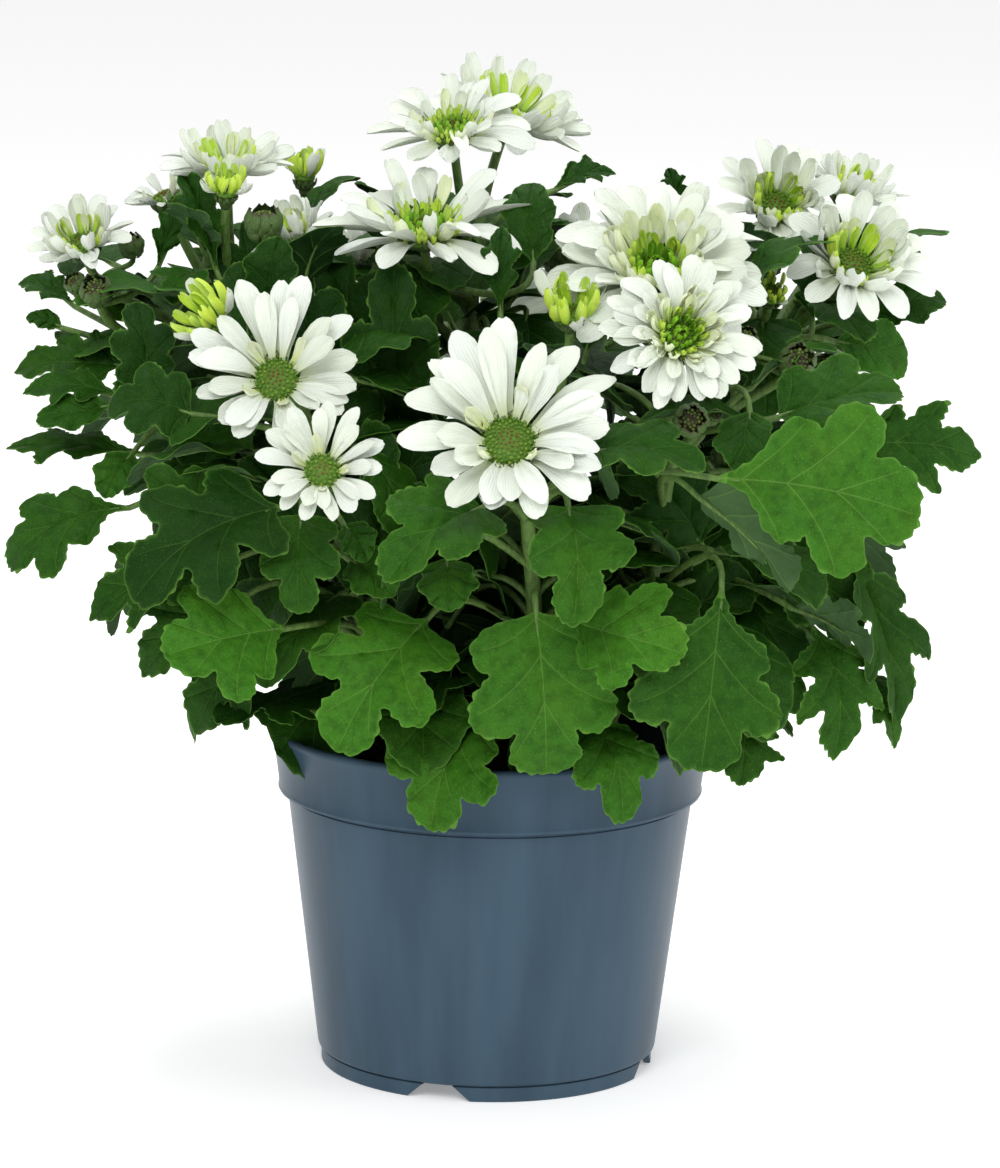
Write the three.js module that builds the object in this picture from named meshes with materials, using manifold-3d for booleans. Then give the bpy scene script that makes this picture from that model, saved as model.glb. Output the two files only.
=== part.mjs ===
// A potted chrysanthemum: six rooted cuttings in a 14 cm grow pot, with their leaves,
// open flower heads, opening heads and buds.
// Millimetres, +Z up, -Y is the front. The origin is the centre of the pot's underside.
import * as THREE from 'three';
import { mergeVertices } from 'three/addons/utils/BufferGeometryUtils.js';
import Module from 'manifold-3d';

const wasm = await Module();
wasm.setup();

// The gap that every piece keeps to its neighbours
const GAP = 0.45;
const MERGE_DISTANCE = 1e-4;

// Pot: a tapered body under a wider rim band, on a foot ring with four drainage notches
const POT_HEIGHT = 110;
const RIM_RADIUS = 70;
const RIM_BAND_BOTTOM = 89;
const RIM_BAND_LOWER_RADIUS = 67.2;
const BODY_TOP_RADIUS = 64.6;
const BODY_BOTTOM_RADIUS = 54;
const FOOT_HEIGHT = 5;
const FOOT_RADIUS = 53.5;
const WALL = 1.4;
const RIM_WALL = 1.8;
const LIP_WIDTH = 1.6;
const LIP_DEPTH = 1.2;
const POT_SIDES = 48;
const NOTCH_COUNT = 4;
const FIRST_NOTCH_TURN = -16.5;
const NOTCH_WIDTH_BELOW = 23;
const NOTCH_WIDTH_ABOVE = 11;
const NOTCH_HEIGHT = 4.9;
const DRAIN_HOLE_COUNT = 8;
const DRAIN_HOLE_RADIUS = 3.6;
const DRAIN_HOLE_CIRCLE = 43;

// Soil
const SOIL_EDGE_HEIGHT = 92;
const SOIL_CENTRE_HEIGHT = 96;

// Stems
const STEM_FOOT_HEIGHT = 72;
const STEM_RADIUS = 3.1;
const BRANCH_RADIUS = 1.5;
const BRANCH_RISE = 30;
const BRANCH_STEP = 4;
const BRANCH_STEPS = 6;
const PATH_POINTS = 60;
const BARE_TOP_POINTS = 2;
const TUBE_SIDES = 6;

// Leaves
const PETIOLE_HALF_WIDTH = 1.2;
const PETIOLE_THICKNESS = 1.8;
const PETIOLE_STEPS = 3;
const PETIOLE_RISE = 8;
const BLADE_THICKNESS = 0.9;

// Flower heads
const CALYX_DEPTH = 6;
const CALYX_RADIUS = 5;
const NOTCH_SHARE = 0.8;

const finishes = {
  pot: { color: '#586878', roughness: 0.38, metalness: 0 },
  soil: { color: '#2b1d14', roughness: 0.95, metalness: 0 },
  stem: { color: '#6d8f45', roughness: 0.6, metalness: 0 },
  leaf: { color: '#2f6b22', roughness: 0.55, metalness: 0 },
  petals: { color: '#f4f4ea', roughness: 0.6, metalness: 0 },
  openingPetals: { color: '#c4d869', roughness: 0.6, metalness: 0 },
  bud: { color: '#5f7d3c', roughness: 0.7, metalness: 0 },
};

// Each cutting: its foot in the soil (x, y), the point where it bends and its top
const cuttings = {
  front: { foot: [8, -34], bend: [13, -58, 148], top: [10, -82, 192] },
  left_front: { foot: [-28, -20], bend: [-40, -46, 150], top: [-52, -62, 200] },
  right_front: { foot: [32, -18], bend: [46, -44, 150], top: [54, -60, 208] },
  left_back: { foot: [-32, 16], bend: [-60, 14, 160], top: [-84, 6, 222] },
  right_back: { foot: [34, 18], bend: [62, 12, 160], top: [86, 4, 222] },
  middle_back: { foot: [0, 34], bend: [-6, 38, 170], top: [-8, 38, 236] },
};

// Open heads: the cutting that bears it, centre of its disc, the way it faces, petal reach,
// the petals' rise in degrees, disc radius and number of petals
const blooms = [
  ['bloom_front', 'front', [4, -112, 220], [0, -0.87, 0.5], 37, 25, 8.5, 16],
  ['bloom_left_upper', 'left_front', [-66, -84, 233], [-0.1, -0.88, 0.46], 30, 22, 7.2, 14],
  ['bloom_left_lower', 'left_front', [-51, -116, 211], [0, -0.9, 0.44], 21, 22, 5.5, 14],
  ['bloom_double_large', 'right_front', [48, -58, 266], [0, -0.64, 0.77], 35, 25, 9, 16],
  ['bloom_double_small', 'right_front', [54, -105, 251], [0.15, -0.86, 0.48], 25, 22, 7, 14],
  ['bloom_crown', 'middle_back', [-23, -20, 273], [-0.05, -0.34, 0.94], 34, 12, 10, 14],
  ['bloom_far_left_top', 'left_back', [-85, 0, 289], [0, -0.25, 0.97], 22, 22, 6, 12],
  ['bloom_far_left_side', 'left_back', [-105, 12, 275], [-0.35, -0.2, 0.92], 15, 25, 5, 10],
  ['bloom_left_edge', 'left_back', [-130, -5, 262], [-0.2, -0.5, 0.84], 19, 35, 6, 12],
  ['bloom_half_open', 'middle_back', [-64, -8, 266], [-0.3, -0.3, 0.9], 17, 40, 5, 10],
  ['bloom_top_left', 'middle_back', [-15, 14, 300], [-0.1, -0.4, 0.9], 27, 12, 8, 14],
  ['bloom_top_right', 'middle_back', [3, 54, 297], [0.3, -0.3, 0.9], 28, 20, 8, 14],
  ['bloom_cupped', 'right_back', [87, 4, 276], [0.05, -0.75, 0.66], 24, 40, 7, 12],
  ['bloom_right_edge', 'right_back', [109, -34, 263], [0.24, -0.7, 0.67], 26, 34, 8, 14],
  ['bloom_right_back', 'right_back', [112, 38, 276], [0.3, -0.2, 0.93], 20, 35, 6, 12],
  ['bloom_back_centre', 'middle_back', [-8, 112, 220], [-0.05, 0.87, 0.5], 36, 25, 8.5, 16],
  ['bloom_back_right', 'right_back', [64, 90, 230], [0.45, 0.7, 0.55], 30, 22, 7.2, 14],
  ['bloom_back_left', 'left_back', [-78, 82, 226], [-0.5, 0.65, 0.55], 30, 22, 7.2, 14],
  ['bloom_back_upper', 'middle_back', [22, 74, 248], [0.1, 0.6, 0.8], 26, 25, 7, 14],
  ['bloom_right_low', 'right_back', [104, 62, 216], [0.75, 0.45, 0.5], 24, 25, 6, 12],
  ['bloom_back_small', 'middle_back', [-42, 70, 246], [-0.25, 0.5, 0.83], 22, 25, 6, 12],
];

// Opening heads, in the same order of values
const openings = [
  ['opening_far_left', 'left_back', [-84, -29, 283], [0.05, -0.38, 0.92], 11, 58, 3.6, 8],
  ['opening_upper_left', 'middle_back', [-62, 34, 280], [0, -0.1, 1], 12, 60, 3.5, 8],
  ['opening_left', 'left_front', [-86, -66, 248], [-0.6, -0.5, 0.62], 15, 50, 5, 8],
  ['opening_centre', 'front', [22, -72, 252], [0, -0.5, 0.87], 15, 50, 5, 8],
  ['opening_right', 'right_back', [84, -40, 255], [0.1, -0.7, 0.7], 9, 60, 4, 8],
];

// Closed buds: the cutting, centre, the way it faces and radius
const buds = [
  ['bud_right', 'right_front', [91, -62, 237], [0.2, -0.85, 0.5], 6.2],
  ['bud_centre_right', 'front', [58, -100, 225], [0.1, -0.95, 0.3], 5.6],
  ['bud_left', 'left_back', [-124, -25, 250], [-0.1, -0.7, 0.7], 5.4],
  ['bud_upper_left', 'left_back', [-72, -36, 273], [0, -0.3, 0.95], 6.2],
];

// Leaves: the cutting, where the blade starts, its tip, the way its upper face looks,
// its width, the height of its arch and how far its edges fold up (share of half width)
const leaves = [
  ['leaf_front_centre', 'front', [13, -88, 164], [17, -86, 113], [0, -1, 0.2], 44, 7, 0.15],
  ['leaf_front_left', 'front', [-20, -74, 158], [-47, -92, 121], [-0.25, -0.9, 0.35], 42, 8, 0.2],
  ['leaf_rim_left', 'front', [-2, -60, 126], [-18, -86, 95], [-0.2, -0.75, 0.65], 34, 7, 0.15],
  ['leaf_rim_right', 'front', [27, -60, 125], [41, -86, 100], [0.15, -0.75, 0.65], 25, 7, 0.15],
  ['leaf_left_bright', 'left_front', [-63, -86, 157], [-98, -108, 153], [-0.15, -0.9, 0.42], 38, 5, 0.12],
  ['leaf_right_bright', 'front', [24, -92, 162], [56, -110, 158], [0.2, -0.9, 0.4], 36, 5, 0.15],
  ['leaf_right_broad', 'right_front', [69, -84, 171], [64, -96, 117], [0.2, -0.95, 0.2], 46, 6, 0.12],
  ['leaf_right_large', 'right_front', [80, -110, 208], [126, -116, 200], [0.1, -0.92, 0.38], 48, 6, 0.12],
  ['leaf_under_bloom', 'front', [22, -106, 199], [24, -132, 170], [0.05, -0.88, 0.48], 31, 5, 0.2],
  ['leaf_under_bloom_left', 'front', [-4, -103, 198], [-31, -131, 184], [-0.2, -0.85, 0.5], 32, 5, 0.2],
  ['leaf_left_broad', 'left_front', [-64, -90, 195], [-108, -104, 169], [-0.3, -0.75, 0.6], 42, 6, 0.15],
  ['leaf_left_low_tip', 'left_back', [-112, -50, 187], [-150, -52, 170], [-0.25, -0.8, 0.55], 26, 8, 0.15],
  ['leaf_left_tip', 'left_back', [-110, -18, 198], [-154, -4, 197], [0, -0.5, 0.87], 20, 3, 0.2],
  ['leaf_left_upper', 'left_back', [-115, -8, 224], [-152, -4, 224], [-0.1, -0.6, 0.8], 30, 3, 0.15],
  ['leaf_right_tip', 'right_back', [111, -10, 203], [154, -6, 200], [0.1, -0.9, 0.3], 32, 3, 0.12],
  ['leaf_right_hanging', 'right_back', [99, -40, 151], [106, -52, 111], [0.3, -0.9, 0.2], 26, 6, 0.15],
  ['leaf_right_outer', 'right_back', [110, -28, 172], [128, -34, 118], [0.9, -0.3, 0.35], 30, 6, 0.4],
  ['leaf_back_centre', 'middle_back', [-12, 92, 166], [-16, 96, 116], [0, 1, 0.2], 44, 7, 0.15],
  ['leaf_back_left', 'left_back', [-80, 84, 186], [-118, 104, 166], [-0.4, 0.75, 0.5], 44, 6, 0.15],
  ['leaf_back_right', 'right_back', [76, 88, 184], [110, 112, 160], [0.35, 0.8, 0.45], 42, 6, 0.15],
  ['leaf_back_under_bloom', 'middle_back', [-24, 108, 200], [-36, 132, 176], [-0.1, 0.85, 0.5], 34, 5, 0.2],
  ['leaf_back_low', 'middle_back', [34, 82, 160], [48, 98, 122], [0.3, 0.9, 0.3], 38, 6, 0.15],
];

// Half the leaf's width, as a share of its widest, at shares of the blade's length:
// two pairs of side lobes and an end lobe
const bladeOutline = [
  [0, 0.06], [0.1, 0.2], [0.2, 0.72], [0.32, 0.5], [0.48, 1], [0.62, 0.55], [0.76, 0.62], [0.9, 0.42], [1, 0.06],
];

function vector([x, y, z]) {
  return new THREE.Vector3(x, y, z);
}

function solidOf(geometry) {
  const bare = geometry.clone();
  bare.deleteAttribute('normal');
  bare.deleteAttribute('uv');
  const merged = mergeVertices(bare, MERGE_DISTANCE);
  return new wasm.Manifold(new wasm.Mesh({
    numProp: 3,
    vertProperties: merged.attributes.position.array,
    triVerts: merged.index.array,
  }));
}

function geometryOf(solid) {
  const { vertProperties, triVerts } = solid.getMesh();
  const geometry = new THREE.BufferGeometry();
  geometry.setAttribute('position', new THREE.BufferAttribute(vertProperties, 3));
  geometry.setIndex(new THREE.BufferAttribute(triVerts, 1));
  geometry.computeVertexNormals();
  return geometry;
}

// The solid joined with copies of itself moved by the gap along each axis
function swollen(solid) {
  const shifts = [[1, 0, 0], [-1, 0, 0], [0, 1, 0], [0, -1, 0], [0, 0, 1], [0, 0, -1]];
  return shifts.reduce(
    (grown, [x, y, z]) => grown.add(solidOf(geometryOf(solid).translate(x * GAP, y * GAP, z * GAP))),
    solid,
  );
}

function boxesMeet(a, b) {
  return [0, 1, 2].every((axis) => a.min[axis] < b.max[axis] && b.min[axis] < a.max[axis]);
}

const model = new THREE.Group();
const placedPieces = [];

// Adds a piece that keeps its gap to every piece before it: what is cut off is left out
function addPiece(group, name, shape, finish, place = new THREE.Matrix4(), clearance = null) {
  let solid = solidOf(shape.clone().applyMatrix4(place));
  for (const other of placedPieces) {
    if (boxesMeet(solid.boundingBox(), other.boundingBox())) {
      solid = solid.subtract(other);
    }
  }
  const whole = solid.decompose().sort((a, b) => b.volume() - a.volume())[0];
  placedPieces.push(clearance ? solidOf(clearance) : swollen(whole));
  const geometry = geometryOf(whole).applyMatrix4(place.clone().invert());
  const mesh = new THREE.Mesh(geometry, new THREE.MeshStandardMaterial(finishes[finish]));
  mesh.name = name;
  mesh.applyMatrix4(place);
  group.add(mesh);
  return whole;
}

function ringProfile(points) {
  return points.map(([radius, height]) => new THREE.Vector2(radius, height));
}

// A solid of revolution about +Z
function turned(points, sides) {
  return new THREE.LatheGeometry(ringProfile(points), sides).rotateX(Math.PI / 2);
}

function notchCutter(turn) {
  const below = NOTCH_WIDTH_BELOW / 2;
  const above = NOTCH_WIDTH_ABOVE / 2;
  const outline = new THREE.Shape([
    new THREE.Vector2(-below, -1),
    new THREE.Vector2(below, -1),
    new THREE.Vector2(above, NOTCH_HEIGHT),
    new THREE.Vector2(-above, NOTCH_HEIGHT),
  ]);
  const depth = 3 * FOOT_HEIGHT;
  return new THREE.ExtrudeGeometry(outline, { depth, bevelEnabled: false })
    .rotateX(Math.PI / 2)
    .translate(0, -(FOOT_RADIUS - FOOT_HEIGHT), 0)
    .rotateZ(THREE.MathUtils.degToRad(turn));
}

function potShape() {
  const innerBottom = BODY_BOTTOM_RADIUS - WALL;
  const shell = solidOf(turned([
    [0, FOOT_HEIGHT],
    [FOOT_RADIUS - 2.4, FOOT_HEIGHT],
    [FOOT_RADIUS - 2, 0],
    [FOOT_RADIUS, 0],
    [FOOT_RADIUS, FOOT_HEIGHT],
    [BODY_BOTTOM_RADIUS, FOOT_HEIGHT + 0.6],
    [BODY_TOP_RADIUS, RIM_BAND_BOTTOM],
    [RIM_BAND_LOWER_RADIUS - 0.8, RIM_BAND_BOTTOM],
    [RIM_BAND_LOWER_RADIUS, RIM_BAND_BOTTOM + 1],
    [RIM_RADIUS - 0.4, POT_HEIGHT - 0.8],
    [RIM_RADIUS - 1, POT_HEIGHT],
    [RIM_RADIUS - 1 - LIP_WIDTH, POT_HEIGHT],
    [RIM_RADIUS - 1 - LIP_WIDTH, POT_HEIGHT - LIP_DEPTH],
    [RIM_RADIUS - 1 - RIM_WALL - LIP_WIDTH, POT_HEIGHT - LIP_DEPTH],
    [RIM_BAND_LOWER_RADIUS - RIM_WALL, RIM_BAND_BOTTOM + WALL],
    [BODY_TOP_RADIUS - WALL, RIM_BAND_BOTTOM + WALL],
    [innerBottom, FOOT_HEIGHT + WALL],
    [0, FOOT_HEIGHT + WALL],
  ], POT_SIDES));
  let pot = shell;
  for (let i = 0; i < NOTCH_COUNT; i += 1) {
    pot = pot.subtract(solidOf(notchCutter(FIRST_NOTCH_TURN + (360 / NOTCH_COUNT) * i)));
  }
  for (let i = 0; i < DRAIN_HOLE_COUNT; i += 1) {
    const hole = new THREE.CylinderGeometry(DRAIN_HOLE_RADIUS, DRAIN_HOLE_RADIUS, 3 * WALL, 10)
      .rotateX(Math.PI / 2)
      .translate(DRAIN_HOLE_CIRCLE, 0, FOOT_HEIGHT + WALL / 2)
      .rotateZ((2 * Math.PI * (i + 0.5)) / DRAIN_HOLE_COUNT);
    pot = pot.subtract(solidOf(hole));
  }
  return geometryOf(pot);
}

function soilShape() {
  const floor = FOOT_HEIGHT + WALL + GAP;
  const step = RIM_BAND_BOTTOM + WALL + GAP;
  return turned([
    [0, floor],
    [BODY_BOTTOM_RADIUS - WALL - 2 * GAP, floor],
    [BODY_TOP_RADIUS - WALL - 3 * GAP, step - 2],
    [BODY_TOP_RADIUS - WALL, SOIL_EDGE_HEIGHT],
    [42, SOIL_CENTRE_HEIGHT - 1.5],
    [16, SOIL_CENTRE_HEIGHT],
    [0, SOIL_CENTRE_HEIGHT],
  ], 32);
}

function mainPath({ foot, bend, top }, below = 0) {
  return new THREE.CatmullRomCurve3([
    new THREE.Vector3(foot[0], foot[1], STEM_FOOT_HEIGHT - below),
    new THREE.Vector3(foot[0], foot[1], SOIL_CENTRE_HEIGHT),
    vector(bend),
    vector(top),
  ]);
}

function tubeSolid(path, radius, steps) {
  const corners = Array.from({ length: TUBE_SIDES }, (_, i) => {
    const turn = (2 * Math.PI * i) / TUBE_SIDES;
    return new THREE.Vector2(radius * Math.cos(turn), radius * Math.sin(turn));
  });
  const section = new THREE.Shape(corners);
  return solidOf(new THREE.ExtrudeGeometry(section, { steps, bevelEnabled: false, extrudePath: path }));
}

// The point of a cutting's main stem at a height, or a little below its top
function pointAtHeight(path, height) {
  const points = path.getPoints(PATH_POINTS).slice(0, -BARE_TOP_POINTS);
  return points.find((point) => point.z >= height) ?? points[points.length - 1];
}

// From the main stem up to the back of a head, arriving along the way the head faces.
// Each branch leaves a little lower than the one before it
function branchPath(path, centre, facing, depth, index) {
  const way = vector(facing).normalize();
  const end = vector(centre).addScaledVector(way, -depth);
  const leaving = Math.min(end.z - BRANCH_RISE, path.getPoint(1).z) - index * BRANCH_STEP;
  const start = pointAtHeight(path, leaving);
  const reach = start.distanceTo(end) * 0.4;
  return new THREE.CubicBezierCurve3(
    start,
    start.clone().add(new THREE.Vector3(0, 0, reach)),
    end.clone().addScaledVector(way, -reach),
    end,
  );
}

// A cutting's main stem with its branches; extra makes every one of them thicker
function cuttingShape(name, extra = 0) {
  const path = mainPath(cuttings[name], extra);
  let stem = tubeSolid(path, STEM_RADIUS + extra, 8);
  const heads = [...blooms, ...openings].map(([, owner, centre, facing]) => [owner, centre, facing, CALYX_DEPTH]);
  const tips = buds.map(([, owner, centre, facing, radius]) => [owner, centre, facing, radius]);
  const own = [...heads, ...tips].filter(([owner]) => owner === name);
  own.forEach(([, centre, facing, depth], index) => {
    const branch = branchPath(path, centre, facing, depth + GAP, index);
    stem = stem.add(tubeSolid(branch, BRANCH_RADIUS + extra, BRANCH_STEPS));
  });
  return geometryOf(stem);
}

// Turns a shape's +Z to face a way and moves it to a place
function facingPlace(centre, facing) {
  const turn = new THREE.Quaternion().setFromUnitVectors(new THREE.Vector3(0, 0, 1), vector(facing).normalize());
  return new THREE.Matrix4().compose(vector(centre), turn, new THREE.Vector3(1, 1, 1));
}

// A flower head: calyx below, ray petals as a notched saucer, domed disc on top
function headShape(reach, riseDegrees, discRadius, petals) {
  const rise = THREE.MathUtils.degToRad(riseDegrees);
  const tip = reach * Math.cos(rise);
  const calyx = Math.min(CALYX_RADIUS, discRadius);
  const shape = turned([
    [0, -CALYX_DEPTH],
    [calyx, -CALYX_DEPTH + 1.5],
    [tip, reach * Math.sin(rise)],
    [discRadius, 0],
    [0, discRadius * 0.3],
  ], 2 * petals);
  const { position } = shape.attributes;
  for (let i = 0; i < position.count; i += 1) {
    const x = position.getX(i);
    const y = position.getY(i);
    const around = Math.round((Math.atan2(y, x) / Math.PI) * petals);
    if (Math.hypot(x, y) > tip - 1 && Math.abs(around) % 2 === 1) {
      position.setXYZ(i, x * NOTCH_SHARE, y * NOTCH_SHARE, position.getZ(i) * NOTCH_SHARE);
    }
  }
  return shape;
}

function budShape(radius) {
  return new THREE.SphereGeometry(radius, 8, 6).rotateX(Math.PI / 2).scale(1, 1, 0.85);
}

// A leaf about its own blade base: +Y runs to the tip and +Z is its upper face
function leafPlace(base, tip, facing) {
  const along = vector(tip).sub(vector(base)).normalize();
  const side = along.clone().cross(vector(facing)).normalize();
  const up = side.clone().cross(along);
  return new THREE.Matrix4().makeBasis(side, along, up).setPosition(vector(base));
}

function nearestStemPoint(path, target) {
  let nearest = null;
  for (const point of path.getPoints(PATH_POINTS)) {
    const wanted = point.z < target.z - PETIOLE_RISE && point.z > SOIL_CENTRE_HEIGHT;
    if (wanted && (!nearest || point.distanceTo(target) < nearest.distanceTo(target))) {
      nearest = point;
    }
  }
  return nearest;
}

// A long box is bent into the stalk, then spread into the lobed blade
function leafShape(stemPoint, length, width, arch, fold) {
  const rows = PETIOLE_STEPS + bladeOutline.length - 1;
  const shape = new THREE.BoxGeometry(2, 1, 1, 2, rows, 1);
  const petiole = new THREE.QuadraticBezierCurve3(
    stemPoint,
    new THREE.Vector3(0, -stemPoint.length() * 0.5, 0),
    new THREE.Vector3(0, 0, 0),
  );
  const { position } = shape.attributes;
  for (let i = 0; i < position.count; i += 1) {
    const side = position.getX(i);
    const row = Math.round((position.getY(i) + 0.5) * rows);
    const face = position.getZ(i) * 2;
    if (row < PETIOLE_STEPS) {
      const t = row / PETIOLE_STEPS;
      const way = petiole.getTangent(t);
      const across = way.clone().cross(new THREE.Vector3(0, 0, 1)).normalize();
      const up = across.clone().cross(way);
      const point = petiole.getPoint(t)
        .addScaledVector(across, side * PETIOLE_HALF_WIDTH)
        .addScaledVector(up, face * (PETIOLE_THICKNESS / 2));
      position.setXYZ(i, point.x, point.y, point.z);
    } else {
      const [v, share] = bladeOutline[row - PETIOLE_STEPS];
      const halfWidth = share * (width / 2);
      const lift = 4 * arch * v * (1 - v) + fold * halfWidth * Math.abs(side);
      position.setXYZ(i, side * halfWidth, v * length, lift + face * (BLADE_THICKNESS / 2));
    }
  }
  return shape;
}

const potGroup = new THREE.Group();
const plantGroup = new THREE.Group();
model.add(potGroup, plantGroup);

addPiece(potGroup, 'pot', potShape(), 'pot');
for (const name of Object.keys(cuttings)) {
  addPiece(plantGroup, `stem_${name}`, cuttingShape(name), 'stem', undefined, cuttingShape(name, GAP));
}
addPiece(potGroup, 'potting_soil', soilShape(), 'soil');
for (const [name, , centre, facing, reach, rise, disc, petals] of blooms) {
  addPiece(plantGroup, name, headShape(reach, rise, disc, petals), 'petals', facingPlace(centre, facing));
}
for (const [name, , centre, facing, reach, rise, disc, petals] of openings) {
  addPiece(plantGroup, name, headShape(reach, rise, disc, petals), 'openingPetals', facingPlace(centre, facing));
}
for (const [name, , centre, facing, radius] of buds) {
  addPiece(plantGroup, name, budShape(radius), 'bud', facingPlace(centre, facing));
}
for (const [name, cutting, base, tip, facing, width, arch, fold] of leaves) {
  const place = leafPlace(base, tip, facing);
  const stemPoint = nearestStemPoint(mainPath(cuttings[cutting]), vector(base)).applyMatrix4(place.clone().invert());
  const length = vector(base).distanceTo(vector(tip));
  addPiece(plantGroup, name, leafShape(stemPoint, length, width, arch, fold), 'leaf', place);
}

export default model;
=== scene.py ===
"""A potted chrysanthemum with white flower heads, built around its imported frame.

Places in the tables are in millimetres and MM turns them into metres. -Y is the front and +Z is up.
"""

import math
import random
from functools import lru_cache
from typing import NamedTuple

import bpy
import numpy as np
from mathutils import Matrix, Vector
from mathutils.geometry import delaunay_2d_cdt


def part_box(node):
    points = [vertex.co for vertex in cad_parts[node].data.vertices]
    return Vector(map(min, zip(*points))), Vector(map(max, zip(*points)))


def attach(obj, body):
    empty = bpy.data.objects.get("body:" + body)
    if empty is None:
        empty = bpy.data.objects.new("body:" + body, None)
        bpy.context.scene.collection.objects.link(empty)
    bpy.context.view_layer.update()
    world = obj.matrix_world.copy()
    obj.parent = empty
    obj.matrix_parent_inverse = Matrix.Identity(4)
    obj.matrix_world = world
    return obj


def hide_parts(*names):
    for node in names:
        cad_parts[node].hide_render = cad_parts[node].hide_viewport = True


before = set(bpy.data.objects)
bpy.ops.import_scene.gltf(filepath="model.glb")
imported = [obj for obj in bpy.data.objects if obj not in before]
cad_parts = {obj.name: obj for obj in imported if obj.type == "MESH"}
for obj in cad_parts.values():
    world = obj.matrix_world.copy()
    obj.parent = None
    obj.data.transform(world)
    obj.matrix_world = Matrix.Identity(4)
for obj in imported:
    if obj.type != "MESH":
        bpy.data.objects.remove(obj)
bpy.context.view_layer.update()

bl_info = {
    "name": "Potted Chrysanthemum",
    "version": (1, 0, 0),
    "blender": (4, 5, 0),
    "location": "3D View > Sidebar > Chrysanthemum",
    "description": "Builds a white pot chrysanthemum in its grow pot around a packed frame",
    "category": "Add Mesh",
}

MM = 0.001
BODY = "root"
UV_NAME = "UVMap"

# Where the soil stands and how the stems branch, as in the frame
SOIL_EDGE_HEIGHT = 92
SOIL_CENTRE_HEIGHT = 96
STEM_FOOT_HEIGHT = 72
BRANCH_RISE = 30
BRANCH_STEP = 4
PATH_POINTS = 60
BARE_TOP_POINTS = 2
BRANCH_STEPS = 14
CALYX_DEPTH = 6
GAP = 0.45
PETIOLE_RISE = 8

# The soil that shows: how far below the frame's it lies, its gap to the wall, its bumps and crumbs
SOIL_EDGE_SINK = 0.8
SOIL_MIDDLE_SINK = 1.6
SOIL_EDGE_GAP = 1.2
SOIL_ROUGHNESS = 0.8
SOIL_RINGS = 22
SOIL_SIDES = 72
CRUMB_SIZE = 1.5

# The pot in millimetres, apart from what its properties hold
POT_SEGMENTS = 144
BAND_STEP = 5.4
FOOT_STEP = 16
FOOT_HEIGHT = 5
BASE_MIDDLE = 0.02
FIRST_NOTCH_TURN = math.radians(-16.5)
NOTCH_COUNT = 4
NOTCH_HALF_WIDTH_BELOW = 11.5
NOTCH_HALF_WIDTH_ABOVE = 5.5
NOTCH_HEIGHT = 4.9
NOTCH_FROM_RIM = (10.5, 25.5)
DRAIN_HOLE_COUNT = 8
DRAIN_HOLE_RADIUS = 3.6
DRAIN_HOLE_CIRCLE = 43

# The stage in metres: each light's place and the side of its square
FLOOR_REACH = 30
LIT_POINT = (0, 0, 0.17)
LIGHTS = {
    "key": ((-0.3, -1.6, 1.4), 0.9),
    "fill": ((1.7, -0.5, 0.9), 1.2),
    "top": ((0.1, 0.6, 1.7), 1.0),
}
CAMERA_PLACE = (0, -1.8, 0.5065)
WHITE = (1, 1, 1, 1)

# Inner leaves: which points of a stem and of a branch bear them, the turn from one to the next, the
# corners of the space that their tips keep to, and how droop, in degrees, and length change with height
LOWEST_LEAF_POINT = 20
BRANCH_LEAF_POINTS = (3, 6, 9)
LEAF_TURN = math.radians(137.5)
INNER_LEAF_ROOM = ((-142, -86, 100), (142, 128, 285))
INNER_LEAF_LOW = 110
INNER_LEAF_SPAN = 130
LOW_DROOP = (20, 78)
HIGH_DROOP = (-70, 55)
INNER_LEAF_LENGTH = (36, 52)
SHORTER_WHEN_HIGH = 14
INNER_STALK_REACH = (10, 26)
INNER_STALK_LIFT = 11
# A further leaf that is wider than this has a fine mesh
FINE_LEAF_WIDTH = 24


class Cutting(NamedTuple):
    """A rooted cutting: its foot in the soil, the point where it bends and its top."""

    foot: tuple
    bend: tuple
    top: tuple


CUTTINGS = {
    "front": Cutting((8, -34), (13, -58, 148), (10, -82, 192)),
    "left_front": Cutting((-28, -20), (-40, -46, 150), (-52, -62, 200)),
    "right_front": Cutting((32, -18), (46, -44, 150), (54, -60, 208)),
    "left_back": Cutting((-32, 16), (-60, 14, 160), (-84, 6, 222)),
    "right_back": Cutting((34, 18), (62, 12, 160), (86, 4, 222)),
    "middle_back": Cutting((0, 34), (-6, 38, 170), (-8, 38, 236)),
}


class Head(NamedTuple):
    """A flower head: the centre, facing and radius of its disc, its petals' reach, rise in degrees,
    number and style."""

    cutting: str
    centre: tuple
    facing: tuple
    reach: float
    rise: float
    disc: float
    petals: int
    style: str = "daisy"


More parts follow.
